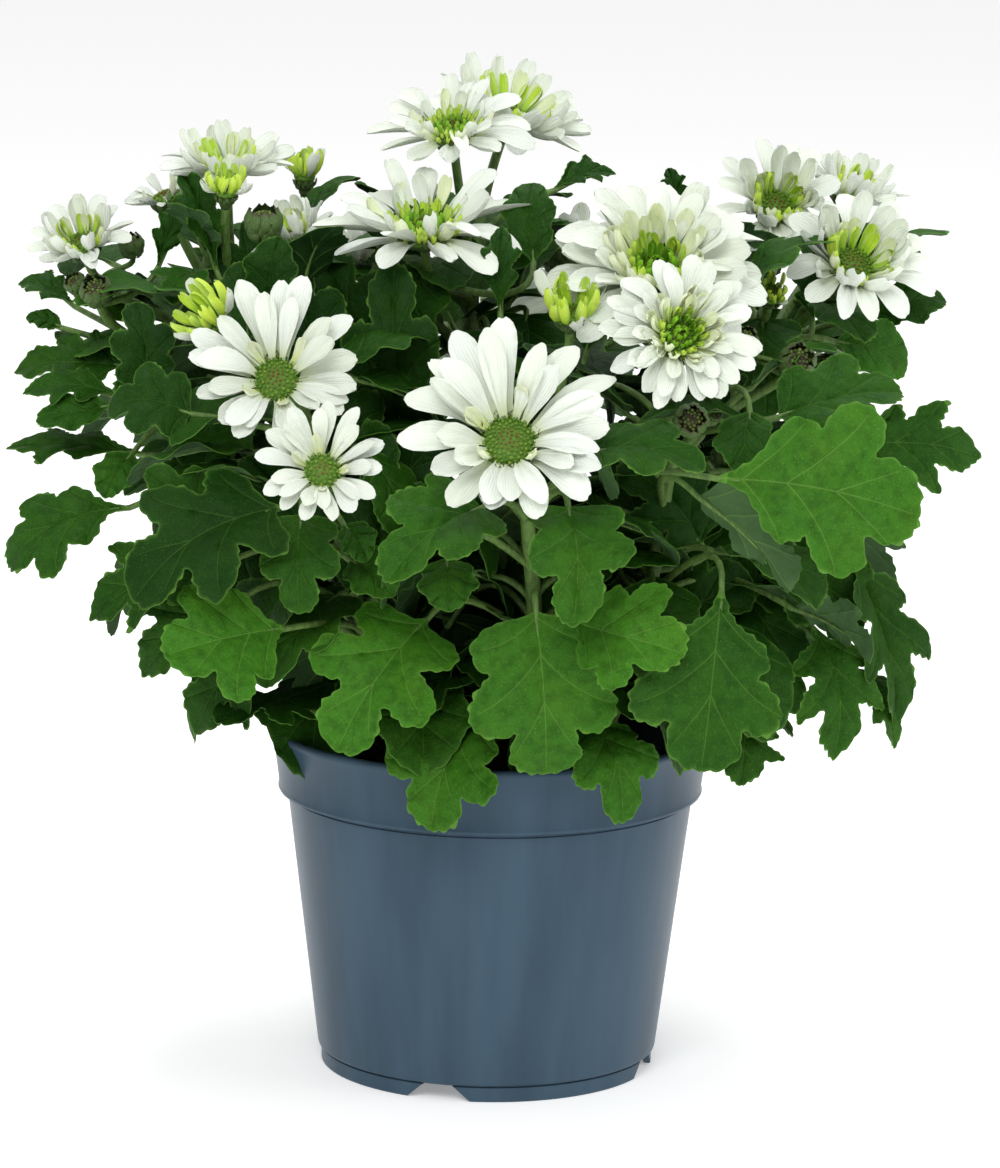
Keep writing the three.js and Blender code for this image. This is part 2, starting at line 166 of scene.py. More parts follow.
BLOOMS = {
    "bloom_front": Head("front", (4, -112, 220), (0, -0.87, 0.5), 34, 25, 8.5, 17),
    "bloom_left_upper": Head("left_front", (-66, -84, 233), (-0.1, -0.88, 0.46), 29, 22, 7.2, 16),
    "bloom_left_lower": Head("left_front", (-51, -116, 211), (0, -0.9, 0.44), 21, 22, 5.5, 15),
    "bloom_double_large": Head("right_front", (48, -58, 263), (0, -0.64, 0.77), 35, 25, 9, 16, "double"),
    "bloom_double_small": Head("right_front", (54, -105, 251), (0.15, -0.86, 0.48), 25, 22, 7, 14, "double"),
    "bloom_crown": Head("middle_back", (-23, -20, 270), (-0.05, -0.34, 0.94), 34, 12, 10, 14, "crown"),
    "bloom_far_left_top": Head("left_back", (-85, 0, 286), (0, -0.25, 0.97), 22, 22, 6, 12, "cup"),
    "bloom_far_left_side": Head("left_back", (-105, 12, 275), (-0.35, -0.2, 0.92), 15, 25, 5, 10),
    "bloom_left_edge": Head("left_back", (-130, -5, 262), (-0.2, -0.5, 0.84), 19, 35, 6, 12, "cup"),
    "bloom_half_open": Head("middle_back", (-64, -8, 266), (-0.3, -0.3, 0.9), 17, 40, 5, 10, "cup"),
    "bloom_top_left": Head("middle_back", (-15, 14, 297), (-0.1, -0.4, 0.9), 27, 12, 8, 14, "crown"),
    "bloom_top_right": Head("middle_back", (3, 54, 297), (0.3, -0.3, 0.9), 28, 20, 8, 14, "cup"),
    "bloom_cupped": Head("right_back", (87, 4, 276), (0.05, -0.75, 0.66), 24, 40, 7, 12, "cup"),
    "bloom_right_edge": Head("right_back", (109, -34, 263), (0.24, -0.7, 0.67), 26, 34, 8, 14, "cup"),
    "bloom_right_back": Head("right_back", (112, 38, 276), (0.3, -0.2, 0.93), 20, 35, 6, 12, "cup"),
    "bloom_back_centre": Head("middle_back", (-8, 112, 220), (-0.05, 0.87, 0.5), 36, 25, 8.5, 16),
    "bloom_back_right": Head("right_back", (64, 90, 230), (0.45, 0.7, 0.55), 30, 22, 7.2, 14),
    "bloom_back_left": Head("left_back", (-78, 82, 226), (-0.5, 0.65, 0.55), 30, 22, 7.2, 14, "double"),
    "bloom_back_upper": Head("middle_back", (22, 74, 248), (0.1, 0.6, 0.8), 26, 25, 7, 14, "crown"),
    "bloom_right_low": Head("right_back", (104, 62, 216), (0.75, 0.45, 0.5), 24, 25, 6, 12),
    "bloom_back_small": Head("middle_back", (-42, 70, 246), (-0.25, 0.5, 0.83), 22, 25, 6, 12, "cup"),
}

OPENINGS = {
    "opening_far_left": Head("left_back", (-84, -29, 283), (0.05, -0.38, 0.92), 11, 58, 3.6, 8, "opening"),
    "opening_upper_left": Head("middle_back", (-62, 34, 280), (0, -0.1, 1), 12, 60, 3.5, 8, "opening"),
    "opening_left": Head("left_front", (-86, -66, 248), (-0.6, -0.5, 0.62), 15, 50, 5, 8, "opening"),
    "opening_centre": Head("front", (22, -72, 252), (0, -0.5, 0.87), 15, 50, 5, 8, "opening"),
    "opening_right": Head("right_back", (84, -40, 255), (0.1, -0.7, 0.7), 9, 60, 4, 8, "opening"),
}


class Bud(NamedTuple):
    """A closed bud: its centre, the way it faces and its radius."""

    cutting: str
    centre: tuple
    facing: tuple
    radius: float


BUDS = {
    "bud_right": Bud("right_front", (91, -62, 237), (0.2, -0.85, 0.5), 6.2),
    "bud_centre_right": Bud("front", (58, -100, 225), (0.1, -0.95, 0.3), 5.6),
    "bud_left": Bud("left_back", (-124, -25, 250), (-0.1, -0.7, 0.7), 5.4),
    "bud_upper_left": Bud("left_back", (-72, -36, 273), (0, -0.3, 0.95), 6.2),
}

# Small buds that the frame doesn't hold
SMALL_BUDS = {
    "small_buds_right": [
        Bud("right_back", (101, -50, 234), (0.2, -0.8, 0.5), 4.4),
        Bud("right_front", (75, -60, 243), (0.1, -0.8, 0.6), 4.7),
        Bud("right_front", (66, -90, 225), (0, -0.9, 0.4), 2.2),
    ],
    "small_buds_left": [
        Bud("left_back", (-131, -15, 251), (-0.4, -0.6, 0.6), 3.7),
        Bud("left_back", (-115, 0, 261), (-0.1, -0.5, 0.85), 4.4),
    ],
}


class Leaf(NamedTuple):
    """A leaf: the base and tip of its blade, the way its upper face looks, its width, arch, fold and
    shape, and its tone: how bright its green is, partly as painted light and shade."""

    cutting: str
    base: tuple
    tip: tuple
    facing: tuple
    width: float
    arch: float
    fold: float
    shape: str = "rounded"
    tone: float = 0.5


# The tone of each leaf is partly painted light and shade: low for leaves that lie in shade, high for lit
# ones.
LEAVES = {
    "leaf_front_centre": Leaf(
        "front", (13, -88, 164), (17, -86, 113), (0, -1, 0.2), 44, 7, 0.15, "rounded", 0.75),
    "leaf_front_left": Leaf(
        "front", (-20, -74, 158), (-47, -92, 121), (-0.25, -0.9, 0.35), 42, 8, 0.2, "lobed", 0.9),
    "leaf_rim_left": Leaf(
        "front", (-2, -60, 126), (-18, -86, 95), (-0.2, -0.75, 0.65), 38, 7, 0.15, "wedge", 0.75),
    "leaf_rim_right": Leaf(
        "front", (27, -60, 125), (41, -86, 100), (0.15, -0.75, 0.65), 28, 7, 0.15, "wedge", 0.7),
    "leaf_left_bright": Leaf(
        "left_front", (-63, -86, 157), (-98, -108, 153), (-0.15, -0.9, 0.42), 42, 5, 0.12, "wedge", 0.95),
    "leaf_right_bright": Leaf(
        "front", (24, -92, 162), (56, -110, 158), (0.2, -0.9, 0.4), 38, 5, 0.15, "wedge", 1.0),
    "leaf_right_broad": Leaf(
        "right_front", (69, -84, 171), (64, -96, 117), (0.2, -0.95, 0.2), 48, 6, 0.12, "wedge", 0.4),
    "leaf_right_large": Leaf(
        "right_front", (66, -108, 209), (126, -116, 200), (0.1, -0.92, 0.38), 54, 6, 0.12, "wedge", 0.8),
    "leaf_under_bloom": Leaf(
        "front", (22, -106, 199), (24, -132, 170), (0.05, -0.88, 0.48), 31, 5, 0.2, "rounded", 0.55),
    "leaf_under_bloom_left": Leaf(
        "front", (-4, -103, 198), (-31, -131, 184), (-0.2, -0.85, 0.5), 32, 5, 0.2, "rounded", 0.5),
    "leaf_left_broad": Leaf(
        "left_front", (-64, -90, 195), (-108, -104, 169), (-0.3, -0.75, 0.6), 44, 6, 0.15, "lobed", 0.1),
    "leaf_left_low_tip": Leaf(
        "left_back", (-112, -50, 187), (-150, -52, 170), (-0.25, -0.8, 0.55), 28, 8, 0.15, "wedge", 0.35),
    "leaf_left_tip": Leaf(
        "left_back", (-110, -18, 198), (-154, -4, 197), (0, -0.5, 0.87), 20, 3, 0.2, "narrow", 0.3),
    "leaf_left_upper": Leaf(
        "left_back", (-115, -8, 224), (-152, -4, 224), (-0.1, -0.6, 0.8), 30, 3, 0.15, "pointed", 0.3),
    "leaf_right_tip": Leaf(
        "right_back", (111, -10, 203), (154, -6, 200), (0.1, -0.9, 0.3), 32, 3, 0.12, "pointed", 0.35),
    "leaf_right_hanging": Leaf(
        "right_back", (99, -40, 151), (106, -52, 111), (0.3, -0.9, 0.2), 30, 6, 0.15, "pointed", 0.45),
    "leaf_right_outer": Leaf(
        "right_back", (110, -28, 172), (128, -34, 118), (0.62, -0.66, 0.4), 30, 6, 0.3, "pointed", 0.25),
    "leaf_back_centre": Leaf(
        "middle_back", (-12, 92, 166), (-16, 96, 116), (0, 1, 0.2), 44, 7, 0.15, "rounded", 0.75),
    "leaf_back_left": Leaf(
        "left_back", (-80, 84, 186), (-118, 104, 166), (-0.4, 0.75, 0.5), 44, 6, 0.15, "wedge", 0.7),
    "leaf_back_right": Leaf(
        "right_back", (76, 88, 184), (110, 112, 160), (0.35, 0.8, 0.45), 42, 6, 0.15, "rounded", 0.7),
    "leaf_back_under_bloom": Leaf(
        "middle_back", (-24, 108, 200), (-36, 132, 176), (-0.1, 0.85, 0.5), 34, 5, 0.2, "rounded", 0.5),
    "leaf_back_low": Leaf(
        "middle_back", (34, 82, 160), (48, 98, 122), (0.3, 0.9, 0.3), 38, 6, 0.15, "lobed", 0.8),
}

# Further leaves of each cutting, which the frame doesn't hold, as a Leaf has them after its cutting
# Their tone is partly painted light and shade: low for leaves deep in the plant or behind its heads.
MORE_LEAVES = {
    "front": [
        ((-14, -106, 183), (-13, -116, 169), (0, -0.9, 0.4), 18, 2, 0.15, "small", 0.45),
    ],
    "left_front": [
        ((-58, -52, 124), (-83, -78, 129), (0, -0.3, 0.95), 26, 3, 0.1, "lobed", 0.2),
        ((-58, -90, 193), (-58, -100, 165), (0, -0.9, 0.3), 24, 4, 0.2, "rounded", 0.35),
        ((-43, -80, 177), (-30, -90, 169), (0, -0.8, 0.6), 18, 2, 0.2, "small", 0.5),
        ((-45, -90, 190), (-38, -95, 180), (0, -0.8, 0.5), 12, 2, 0.2, "small", 0.4),
        ((-36, -60, 161), (-37, -60, 217), (0, -1, 0.05), 30, 6, 0.2, "lobed", 0.15),
        ((-92, -72, 220), (-118, -68, 222), (-0.1, -0.8, 0.6), 24, 4, 0.15, "rounded", 0.15),
        ((-85, -70, 187), (-104, -78, 204), (0.2, -0.9, 0.4), 20, 3, 0.2, "rounded", 0.3),
        ((-72, -14, 140), (-96, -16, 108), (-0.85, -0.2, 0.5), 38, 6, 0.15, "lobed", 0.6),
        ((-50, -50, 196), (-46, -42, 236), (0, -1, 0.1), 30, 4, 0.2, "rounded", 0.1),
        ((-56, -58, 176), (-76, -64, 206), (0, -1, 0.2), 28, 3, 0.2, "rounded", 0.15),
        ((-36, -46, 184), (-14, -50, 214), (0, -1, 0.15), 32, 3, 0.15, "rounded", 0.1),
        ((-76, -62, 162), (-108, -66, 138), (-0.3, -0.8, 0.5), 34, 5, 0.2, "pointed", 0.3),
        ((-66, -60, 150), (-92, -66, 120), (-0.3, -0.85, 0.4), 32, 5, 0.2, "pointed", 0.25),
    ],
    "right_front": [
        ((76, -68, 133), (76, -80, 109), (0.1, -0.9, 0.4), 26, 3, 0.1, "narrow", 0.4),
        ((85, -85, 224), (122, -80, 232), (0, -0.6, 0.8), 30, 4, 0.15, "rounded", 0.35),
        ((76, -90, 226), (76, -102, 208), (0, -0.9, 0.4), 19, 2, 0.15, "small", 0.3),
        ((61, -95, 201), (89, -105, 175), (-0.3, 0.6, 0.7), 26, 3, 0.5, "rounded", 0.6),
        ((28, -112, 217), (62, -122, 214), (0, -0.5, 0.85), 24, 4, 0.2, "rounded", 0.3),
        ((40, -44, 172), (62, -34, 206), (0, -1, 0.15), 34, 4, 0.15, "rounded", 0.1),
        ((64, -50, 178), (40, -58, 204), (0, -1, 0.2), 30, 3, 0.15, "lobed", 0.15),
        ((50, -36, 150), (80, -40, 166), (0, -0.9, 0.4), 36, 4, 0.15, "rounded", 0.15),
    ],
    "left_back": [
        ((-112, -40, 202), (-120, -50, 190), (-0.2, -0.8, 0.5), 14, 2, 0.1, "small", 0.5),
        ((-116, -25, 217), (-147, -25, 219), (0, -0.5, 0.85), 22, 3, 0.15, "narrow", 0.35),
        ((-120, -30, 215), (-142, -34, 211), (0, -0.6, 0.8), 16, 2, 0.15, "small", 0.4),
        ((-133, 5, 241), (-151, 12, 249), (0, -0.4, 0.9), 16, 2, 0.15, "narrow", 0.3),
        ((-137, 0, 235), (-148, 0, 238), (0, -0.5, 0.85), 10, 1, 0.1, "small", 0.3),
        ((-107, -50, 225), (-111, -44, 250), (0.1, -1, 0.2), 20, 3, 0.2, "rounded", 0.05),
        ((-87, -24, 257), (-99, -12, 288), (0.2, -1, 0), 16, 3, 0.5, "narrow", 0.2),
        ((-106, -12, 256), (-96, -6, 276), (0, -1, 0.1), 12, 2, 0.3, "narrow", 0.2),
        ((-76, -48, 239), (-78, -40, 263), (0, -1, 0.1), 18, 3, 0.2, "small", 0.1),
        ((-100, 60, 200), (-136, 62, 190), (-0.6, 0.3, 0.7), 36, 5, 0.15, "rounded", 0.4),
        ((-92, 58, 160), (-118, 72, 128), (-0.6, 0.6, 0.4), 40, 6, 0.15, "lobed", 0.6),
        ((-64, 40, 126), (-86, 56, 104), (-0.7, 0.5, 0.55), 34, 6, 0.15, "lobed", 0.7),
        ((-92, 16, 170), (-122, 24, 132), (-0.85, 0.1, 0.5), 42, 6, 0.15, "rounded", 0.6),
        ((-100, 40, 236), (-132, 48, 240), (-0.3, 0.3, 0.9), 26, 4, 0.2, "narrow", 0.3),
        ((-70, -46, 250), (-67, -46, 271), (0, -1, 0.1), 17, 2, 0.2, "small", 0.1),
        ((-50, -30, 228), (-64, -26, 258), (0, -1, 0.1), 26, 3, 0.2, "rounded", 0.1),
        ((-84, -16, 240), (-74, -10, 272), (0, -1, 0.1), 24, 3, 0.2, "rounded", 0.1),
        ((-84, -64, 172), (-124, -60, 154), (-0.2, -0.75, 0.65), 34, 5, 0.2, "pointed", 0.25),
    ],
    "right_back": [
        ((92, -52, 159), (117, -60, 145), (-0.2, 0.6, 0.75), 24, 3, 0.3, "lobed", 0.5),
        ((109, -30, 138), (128, -36, 113), (0.6, -0.6, 0.5), 20, 3, 0.2, "narrow", 0.4),
        ((105, -25, 238), (128, -20, 230), (0, -0.8, 0.6), 22, 3, 0.15, "small", 0.6),
        ((116, 0, 243), (141, 4, 249), (0, -0.7, 0.7), 18, 3, 0.15, "small", 0.2),
        ((98, -20, 243), (97, -16, 263), (0, -1, 0.1), 12, 2, 0.3, "narrow", 0.2),
        ((57, 8, 274), (53, 14, 287), (0, -1, 0.2), 9, 1, 0.2, "narrow", 0.1),
        ((104, 60, 176), (128, 76, 140), (0.6, 0.6, 0.5), 42, 6, 0.15, "rounded", 0.5),
        ((118, 26, 200), (148, 40, 190), (0.6, 0.2, 0.75), 36, 4, 0.15, "lobed", 0.4),
        ((66, 42, 128), (88, 52, 104), (0.7, 0.5, 0.55), 34, 6, 0.15, "rounded", 0.7),
        ((92, 8, 140), (114, 12, 106), (0.85, 0.1, 0.5), 38, 6, 0.15, "lobed", 0.6),
        ((74, -20, 164), (94, -40, 138), (0.1, -0.9, 0.4), 38, 4, 0.15, "lobed", 0.2),
        ((92, -26, 176), (112, -36, 146), (0.2, -0.85, 0.45), 32, 4, 0.15, "rounded", 0.3),
    ],
    "middle_back": [
        ((-29, -40, 209), (-32, -36, 262), (0, -1, 0.1), 30, 6, 0.2, "rounded", 0.1),
        ((1, -40, 247), (1, -32, 274), (0, -1, 0.2), 14, 3, 0.2, "narrow", 0.2),
        ((11, -22, 261), (10, -8, 285), (0, -1, 0.2), 17, 3, 0.2, "small", 0.2),
        ((17, 20, 278), (37, 28, 283), (0, -0.6, 0.8), 14, 2, 0.2, "narrow", 0.2),
        ((60, 96, 200), (88, 112, 196), (0.1, 0.8, 0.6), 34, 4, 0.15, "rounded", 0.4),
        ((-44, 86, 160), (-66, 104, 124), (-0.3, 0.9, 0.3), 42, 6, 0.15, "rounded", 0.7),
        ((6, 62, 126), (4, 86, 98), (0, 0.75, 0.65), 34, 6, 0.15, "rounded", 0.7),
        ((20, 108, 208), (44, 128, 190), (0.2, 0.85, 0.5), 30, 4, 0.2, "rounded", 0.45),
        ((0, 60, 252), (4, 88, 262), (0, 0.2, 1), 24, 4, 0.2, "rounded", 0.3),
        ((-6, -30, 160), (14, -34, 194), (0, -1, 0.2), 32, 3, 0.15, "rounded", 0.1),
        ((-34, -14, 226), (-54, -8, 260), (0, -1, 0.1), 32, 4, 0.2, "rounded", 0.1),
    ],
}

# Half the outline of each leaf shape: (share of the half width, share of the length)
LEAF_OUTLINES = {
    "rounded": [
        (0.03, 0), (0.2, 0.02), (0.5, 0.03), (0.78, 0.07), (0.92, 0.15), (0.92, 0.24), (0.78, 0.30),
        (0.68, 0.32), (0.80, 0.36), (0.95, 0.42), (1.02, 0.51), (1, 0.60), (0.88, 0.67), (0.70, 0.70),
        (0.52, 0.69), (0.42, 0.66), (0.40, 0.70), (0.46, 0.76), (0.50, 0.83), (0.44, 0.91), (0.28, 0.97),
        (0, 1),
    ],
    "wedge": [
        (0.03, 0), (0.08, 0.08), (0.18, 0.16), (0.36, 0.22), (0.56, 0.26), (0.70, 0.32), (0.74, 0.39),
        (0.66, 0.45), (0.60, 0.48), (0.72, 0.50), (0.90, 0.54), (1, 0.62), (0.98, 0.71), (0.84, 0.77),
        (0.66, 0.78), (0.50, 0.75), (0.44, 0.76), (0.46, 0.80), (0.48, 0.86), (0.42, 0.93), (0.26, 0.98),
        (0, 1),
    ],
    "lobed": [
        (0.03, 0), (0.1, 0.05), (0.3, 0.07), (0.58, 0.07), (0.78, 0.12), (0.84, 0.2), (0.74, 0.27),
        (0.56, 0.31), (0.46, 0.34), (0.52, 0.37), (0.72, 0.40), (0.92, 0.46), (1, 0.55), (0.96, 0.64),
        (0.8, 0.69), (0.6, 0.68), (0.42, 0.65), (0.34, 0.65), (0.34, 0.70), (0.42, 0.77), (0.46, 0.84),
        (0.40, 0.92), (0.24, 0.98), (0, 1),
    ],
    "narrow": [
        (0.05, 0), (0.1, 0.15), (0.3, 0.25), (0.6, 0.35), (0.85, 0.42), (0.7, 0.48), (0.45, 0.5),
        (0.6, 0.58), (1, 0.68), (0.75, 0.73), (0.45, 0.72), (0.5, 0.82), (0.3, 0.93), (0, 1),
    ],
    "pointed": [
        (0.05, 0), (0.1, 0.1), (0.28, 0.15), (0.6, 0.19), (0.88, 0.34), (0.64, 0.36), (0.42, 0.38),
        (0.52, 0.42), (0.82, 0.5), (1.0, 0.71), (0.72, 0.67), (0.42, 0.62), (0.34, 0.64), (0.42, 0.72),
        (0.46, 0.83), (0.24, 0.91), (0, 1),
    ],
    "small": [
        (0.05, 0), (0.3, 0.08), (0.7, 0.18), (0.85, 0.3), (0.75, 0.4), (0.85, 0.45), (1, 0.55),
        (0.95, 0.66), (0.75, 0.72), (0.68, 0.75), (0.62, 0.84), (0.4, 0.95), (0, 1),
    ],
}
# The side veins of each shape, from the midrib to the end of a lobe
LEAF_VEINS = {
    "rounded": [((0, 0.03), (0.82, 0.18)), ((0, 0.24), (0.93, 0.55)), ((0, 0.52), (0.42, 0.83))],
    "wedge": [((0, 0.12), (0.7, 0.37)), ((0, 0.34), (0.93, 0.66)), ((0, 0.58), (0.42, 0.87))],
    "lobed": [((0, 0.05), (0.74, 0.19)), ((0, 0.26), (0.92, 0.58)), ((0, 0.55), (0.37, 0.84))],
    "narrow": [((0, 0.14), (0.76, 0.42)), ((0, 0.36), (0.9, 0.68)), ((0, 0.6), (0.42, 0.83))],
    "pointed": [((0, 0.08), (0.8, 0.32)), ((0, 0.32), (0.92, 0.66)), ((0, 0.58), (0.4, 0.82))],
    "small": [((0, 0.06), (0.74, 0.3)), ((0, 0.28), (0.9, 0.58)), ((0, 0.52), (0.52, 0.84))],
}
# A flat leaf one unit long: half its width, its teeth and how fine its mesh is
LEAF_ASPECT = 0.45
TOOTH_DEPTH = 0.026
TOOTH_LENGTH = 0.1
FINE_SPACING = 0.0175
COARSE_SPACING = 0.036
FINE_CELL = 0.062
COARSE_CELL = 0.09
VEIN_HALF_WIDTH = 0.0095
VEIN_BOW = 1.0
# A blade: its thickness, the share of it at the rim, the rise between veins and the slope of its fold
LEAF_THICKNESS = 0.4
LEAF_RIM_SHARE = 0.5
PUCKER = 0.9
FOLD_SHARE = 1.6

# A leaf's stalk: its radii at both ends, then where it runs on under the midrib and how thick
RIDGE_DEPTH = 0.1
STALK_RADII = (1.25, 0.95)
RIB_PLACES = (0.12, 0.25, 0.4, 0.6)
RIB_RADII = (0.75, 0.6, 0.45, 0.3)
RIB_SINK = 0.35
STALK_STEPS = 8
BUD_STALK_RADIUS = 0.9
BUD_STALK_STEPS = 10


class Layer(NamedTuple):
    """One whorl of a head: its kind of petal, then shares of the head's petal count, disc radius and
    reach, a petal's width for its length, a share of the head's rise and degrees on top of it."""

    kind: str
    count: float
    ring: float
    length: float
    width: float
    rise: float
    extra_rise: float
    finish: str = "petal"


STYLES = {
    "daisy": [
        Layer("ray", 0.85, 0.88, 1.00, 0.33, 1, 3),
        Layer("ray", 0.75, 0.78, 0.90, 0.32, 1, 15),
        Layer("cup", 0.25, 0.80, 0.38, 0.38, 1, 30, "cream"),
    ],
    "double": [
        Layer("ray", 1.00, 0.95, 1.00, 0.33, 0.3, 0),
        Layer("ray", 0.95, 0.85, 0.92, 0.34, 0.6, 8),
        Layer("ray", 0.85, 0.80, 0.80, 0.35, 1, 14),
        Layer("cup", 0.80, 0.75, 0.64, 0.34, 1, 18, "cream"),
        Layer("cup", 0.75, 0.70, 0.42, 0.33, 1, 28, "cream"),
        Layer("quill", 1.40, 0.66, 0.25, 0.28, 1, 30, "green"),
        Layer("quill", 1.30, 0.48, 0.21, 0.28, 1, 44, "young"),
        Layer("quill", 0.90, 0.26, 0.17, 0.28, 1, 60, "young"),
    ],
    "crown": [
        Layer("ray", 0.80, 0.80, 1.00, 0.34, 0.5, 4),
        Layer("ray", 0.60, 0.75, 0.90, 0.33, 1, 26),
        Layer("cup", 0.35, 0.80, 0.64, 0.36, 1, 42),
        Layer("cup", 0.40, 0.84, 0.40, 0.34, 1, 26, "cream"),
        Layer("quill", 1.70, 0.80, 0.20, 0.30, 1, 20, "green"),
        Layer("quill", 1.50, 0.64, 0.18, 0.30, 1, 36, "green"),
        Layer("quill", 1.20, 0.46, 0.15, 0.30, 1, 52, "young"),
        Layer("quill", 0.80, 0.24, 0.13, 0.30, 1, 66, "young"),
    ],
    "cup": [
        Layer("ray", 1.00, 0.80, 1.00, 0.36, 0.8, 0),
        Layer("cup", 0.90, 0.75, 0.90, 0.36, 1, 10),
        Layer("cup", 0.70, 0.70, 0.66, 0.36, 1, 20, "cream"),
        Layer("quill", 0.90, 0.65, 0.42, 0.28, 1, 18, "green"),
    ],
    "opening": [
        Layer("quill", 1.10, 0.80, 1.00, 0.28, 1, 0, "green"),
        Layer("quill", 1.00, 0.60, 0.80, 0.28, 1, 12, "green"),
        Layer("cup", 0.38, 0.90, 1.15, 0.38, 0.8, -6),
    ],
}


def metres(point):
    return Vector(point) * MM


def linear(red, green, blue):
    """A colour of 0 to 255 a channel, as it shows on a screen, in the renderer's linear values."""
    def channel(value):
        share = value / 255
        return share / 12.92 if share <= 0.04045 else ((share + 0.055) / 1.055) ** 2.4
    return (channel(red), channel(green), channel(blue), 1)


def shade(colour, factor):
    """The same colour, paler above a factor of 1 and darker below it."""
    return (*(min(1, factor * channel) for channel in colour[:3]), 1)


class Signal:
    """A node's output that Python's operators work on: each one adds a Math node to the graph."""

    def __init__(self, graph, socket):
        self.graph = graph
        self.socket = socket

    def __add__(self, other):
        return self.graph.math("ADD", self, other)

    def __radd__(self, other):
        return self.graph.math("ADD", other, self)

    def __sub__(self, other):
        return self.graph.math("SUBTRACT", self, other)

    def __rsub__(self, other):
        return self.graph.math("SUBTRACT", other, self)

    def __mul__(self, other):
        return self.graph.math("MULTIPLY", self, other)

    def __rmul__(self, other):
        return self.graph.math("MULTIPLY", other, self)

    def __truediv__(self, other):
        return self.graph.math("DIVIDE", self, other)

    def __rtruediv__(self, other):
        return self.graph.math("DIVIDE", other, self)

    def __pow__(self, other):
        return self.graph.math("POWER", self, other)


class Graph:
    """A node tree that grows by naming each node's settings and what feeds its sockets."""

    def __init__(self, tree):
        self.tree = tree

    @staticmethod
    def pick(sockets, key):
        shown = [socket for socket in sockets if socket.enabled]
        if isinstance(key, int):
            return shown[key]
        return next(socket for socket in shown if socket.name == key)

    def feed(self, socket, value):
        if isinstance(value, Signal):
            self.tree.links.new(value.socket, socket)
        else:
            socket.default_value = value

    def add(self, kind, settings=None, inputs=None, output=0):
        node = self.tree.nodes.new(kind)
        for name, value in (settings or {}).items():
            if name == "stops":
                self.set_stops(node.color_ramp, value)
            else:
                setattr(node, name, value)
        for key, value in (inputs or {}).items():
            self.feed(self.pick(node.inputs, key), value)
        return Signal(self, self.pick(node.outputs, output))

    @staticmethod
    def set_stops(ramp, stops):
        while len(ramp.elements) < len(stops):
            ramp.elements.new(1)
        for element, (position, colour) in zip(ramp.elements, stops):
            element.position = position
            element.color = colour

    def math(self, operation, *values):
        return self.add("ShaderNodeMath", {"operation": operation}, dict(enumerate(values)))

    def vector(self, operation, *values):
        return self.add("ShaderNodeVectorMath", {"operation": operation}, dict(enumerate(values)))

    def scaled(self, vector, factor):
        return self.add("ShaderNodeVectorMath", {"operation": "SCALE"}, {"Vector": vector, "Scale": factor})

    def combined(self, x, y, z):
        return self.add("ShaderNodeCombineXYZ", None, {"X": x, "Y": y, "Z": z})

    def part(self, vector, axis):
        return self.add("ShaderNodeSeparateXYZ", None, {"Vector": vector}, axis)

    def smooth(self, value, low, high):
        """0 up to the low value, 1 from the high value on, with a soft step between them."""
        return self.add(
            "ShaderNodeMapRange", {"interpolation_type": "SMOOTHSTEP"},
            {"Value": value, "From Min": low, "From Max": high},
        )

    def mix(self, share, first, second, blend="MIX"):
        return self.add(
            "ShaderNodeMix", {"data_type": "RGBA", "blend_type": blend},
            {"Factor": share, "A": first, "B": second},
        )

    def random(self, low, high, seed, salt, kind="FLOAT"):
        return self.add(
            "FunctionNodeRandomValue", {"data_type": kind}, {"Min": low, "Max": high, "Seed": seed + salt},
        )

    def moved(self, geometry, offset):
        return self.add("GeometryNodeSetPosition", None, {"Geometry": geometry, "Offset": offset})

    def turned(self, x, y, z):
        return self.add("FunctionNodeEulerToRotation", None, {"Euler": self.combined(x, y, z)})

    def noise(self, vector, scale, detail=3, roughness=0.55):
        return self.add(
            "ShaderNodeTexNoise", None,
            {"Vector": vector, "Scale": scale, "Detail": detail, "Roughness": roughness},
        )


class Finish(Graph):
    """A material whose graph ends in one Principled shader."""

    def __init__(self, name):
        self.material = bpy.data.materials.new(name)
        self.material.use_nodes = True
        super().__init__(self.material.node_tree)
        self.shader = self.tree.nodes["Principled BSDF"]

    def position(self):
        return self.add("ShaderNodeTexCoord", output="Object")

    def attribute(self, name):
        return self.add("ShaderNodeAttribute", {"attribute_name": name}, output="Fac")

    def sheet_place(self):
        """Across and along the sheet, from 0 to 1."""
        place = self.add("ShaderNodeUVMap", {"uv_map": UV_NAME})
        return self.part(place, "X"), self.part(place, "Y")

    def bump(self, height, distance, strength=1.0):
        return self.add(
            "ShaderNodeBump", None, {"Height": height, "Distance": distance, "Strength": strength},
        )

    def ends_in(self, **sockets):
        for name, value in sockets.items():
            self.feed(self.shader.inputs[name.replace("_", " ")], value)
        return self.material


def pot_finish(colour):
    """Satin moulded plastic with soft upright streaks and a fine grain."""
    finish = Finish("pot_plastic")
    place = finish.position()
    streaks = finish.noise(finish.vector("MULTIPLY", place, (60, 60, 5)), 1.0, 4)
    grain = finish.noise(place, 2600, 2)
    cloud = finish.noise(place, 22, 4)
    return finish.ends_in(
        Base_Color=finish.mix(finish.smooth(streaks, 0.3, 0.7), shade(colour, 0.86), shade(colour, 1.16)),
        Roughness=0.3 + 0.1 * cloud,
        Normal=finish.bump(0.35 * grain + 0.8 * streaks, 0.00012, 0.6),
        Specular_IOR_Level=0.15,
    )


def soil_finish(colour):
    """Dark peat with paler crumbs and a few rusty patches."""
    finish = Finish("soil")
    place = finish.position()
    crumbs = finish.noise(place, 420, 6, 0.7)
    patches = finish.noise(place, 60, 3)
    earth = finish.mix(finish.smooth(crumbs, 0.35, 0.7), shade(colour, 0.35), colour)
    rusty = finish.mix(finish.smooth(patches, 0.62, 0.75) * 0.5, earth, linear(112, 76, 48))
    return finish.ends_in(
        Base_Color=rusty,
        Roughness=0.92,
        Normal=finish.bump(crumbs, 0.0012),
        Specular_IOR_Level=0.2,
    )


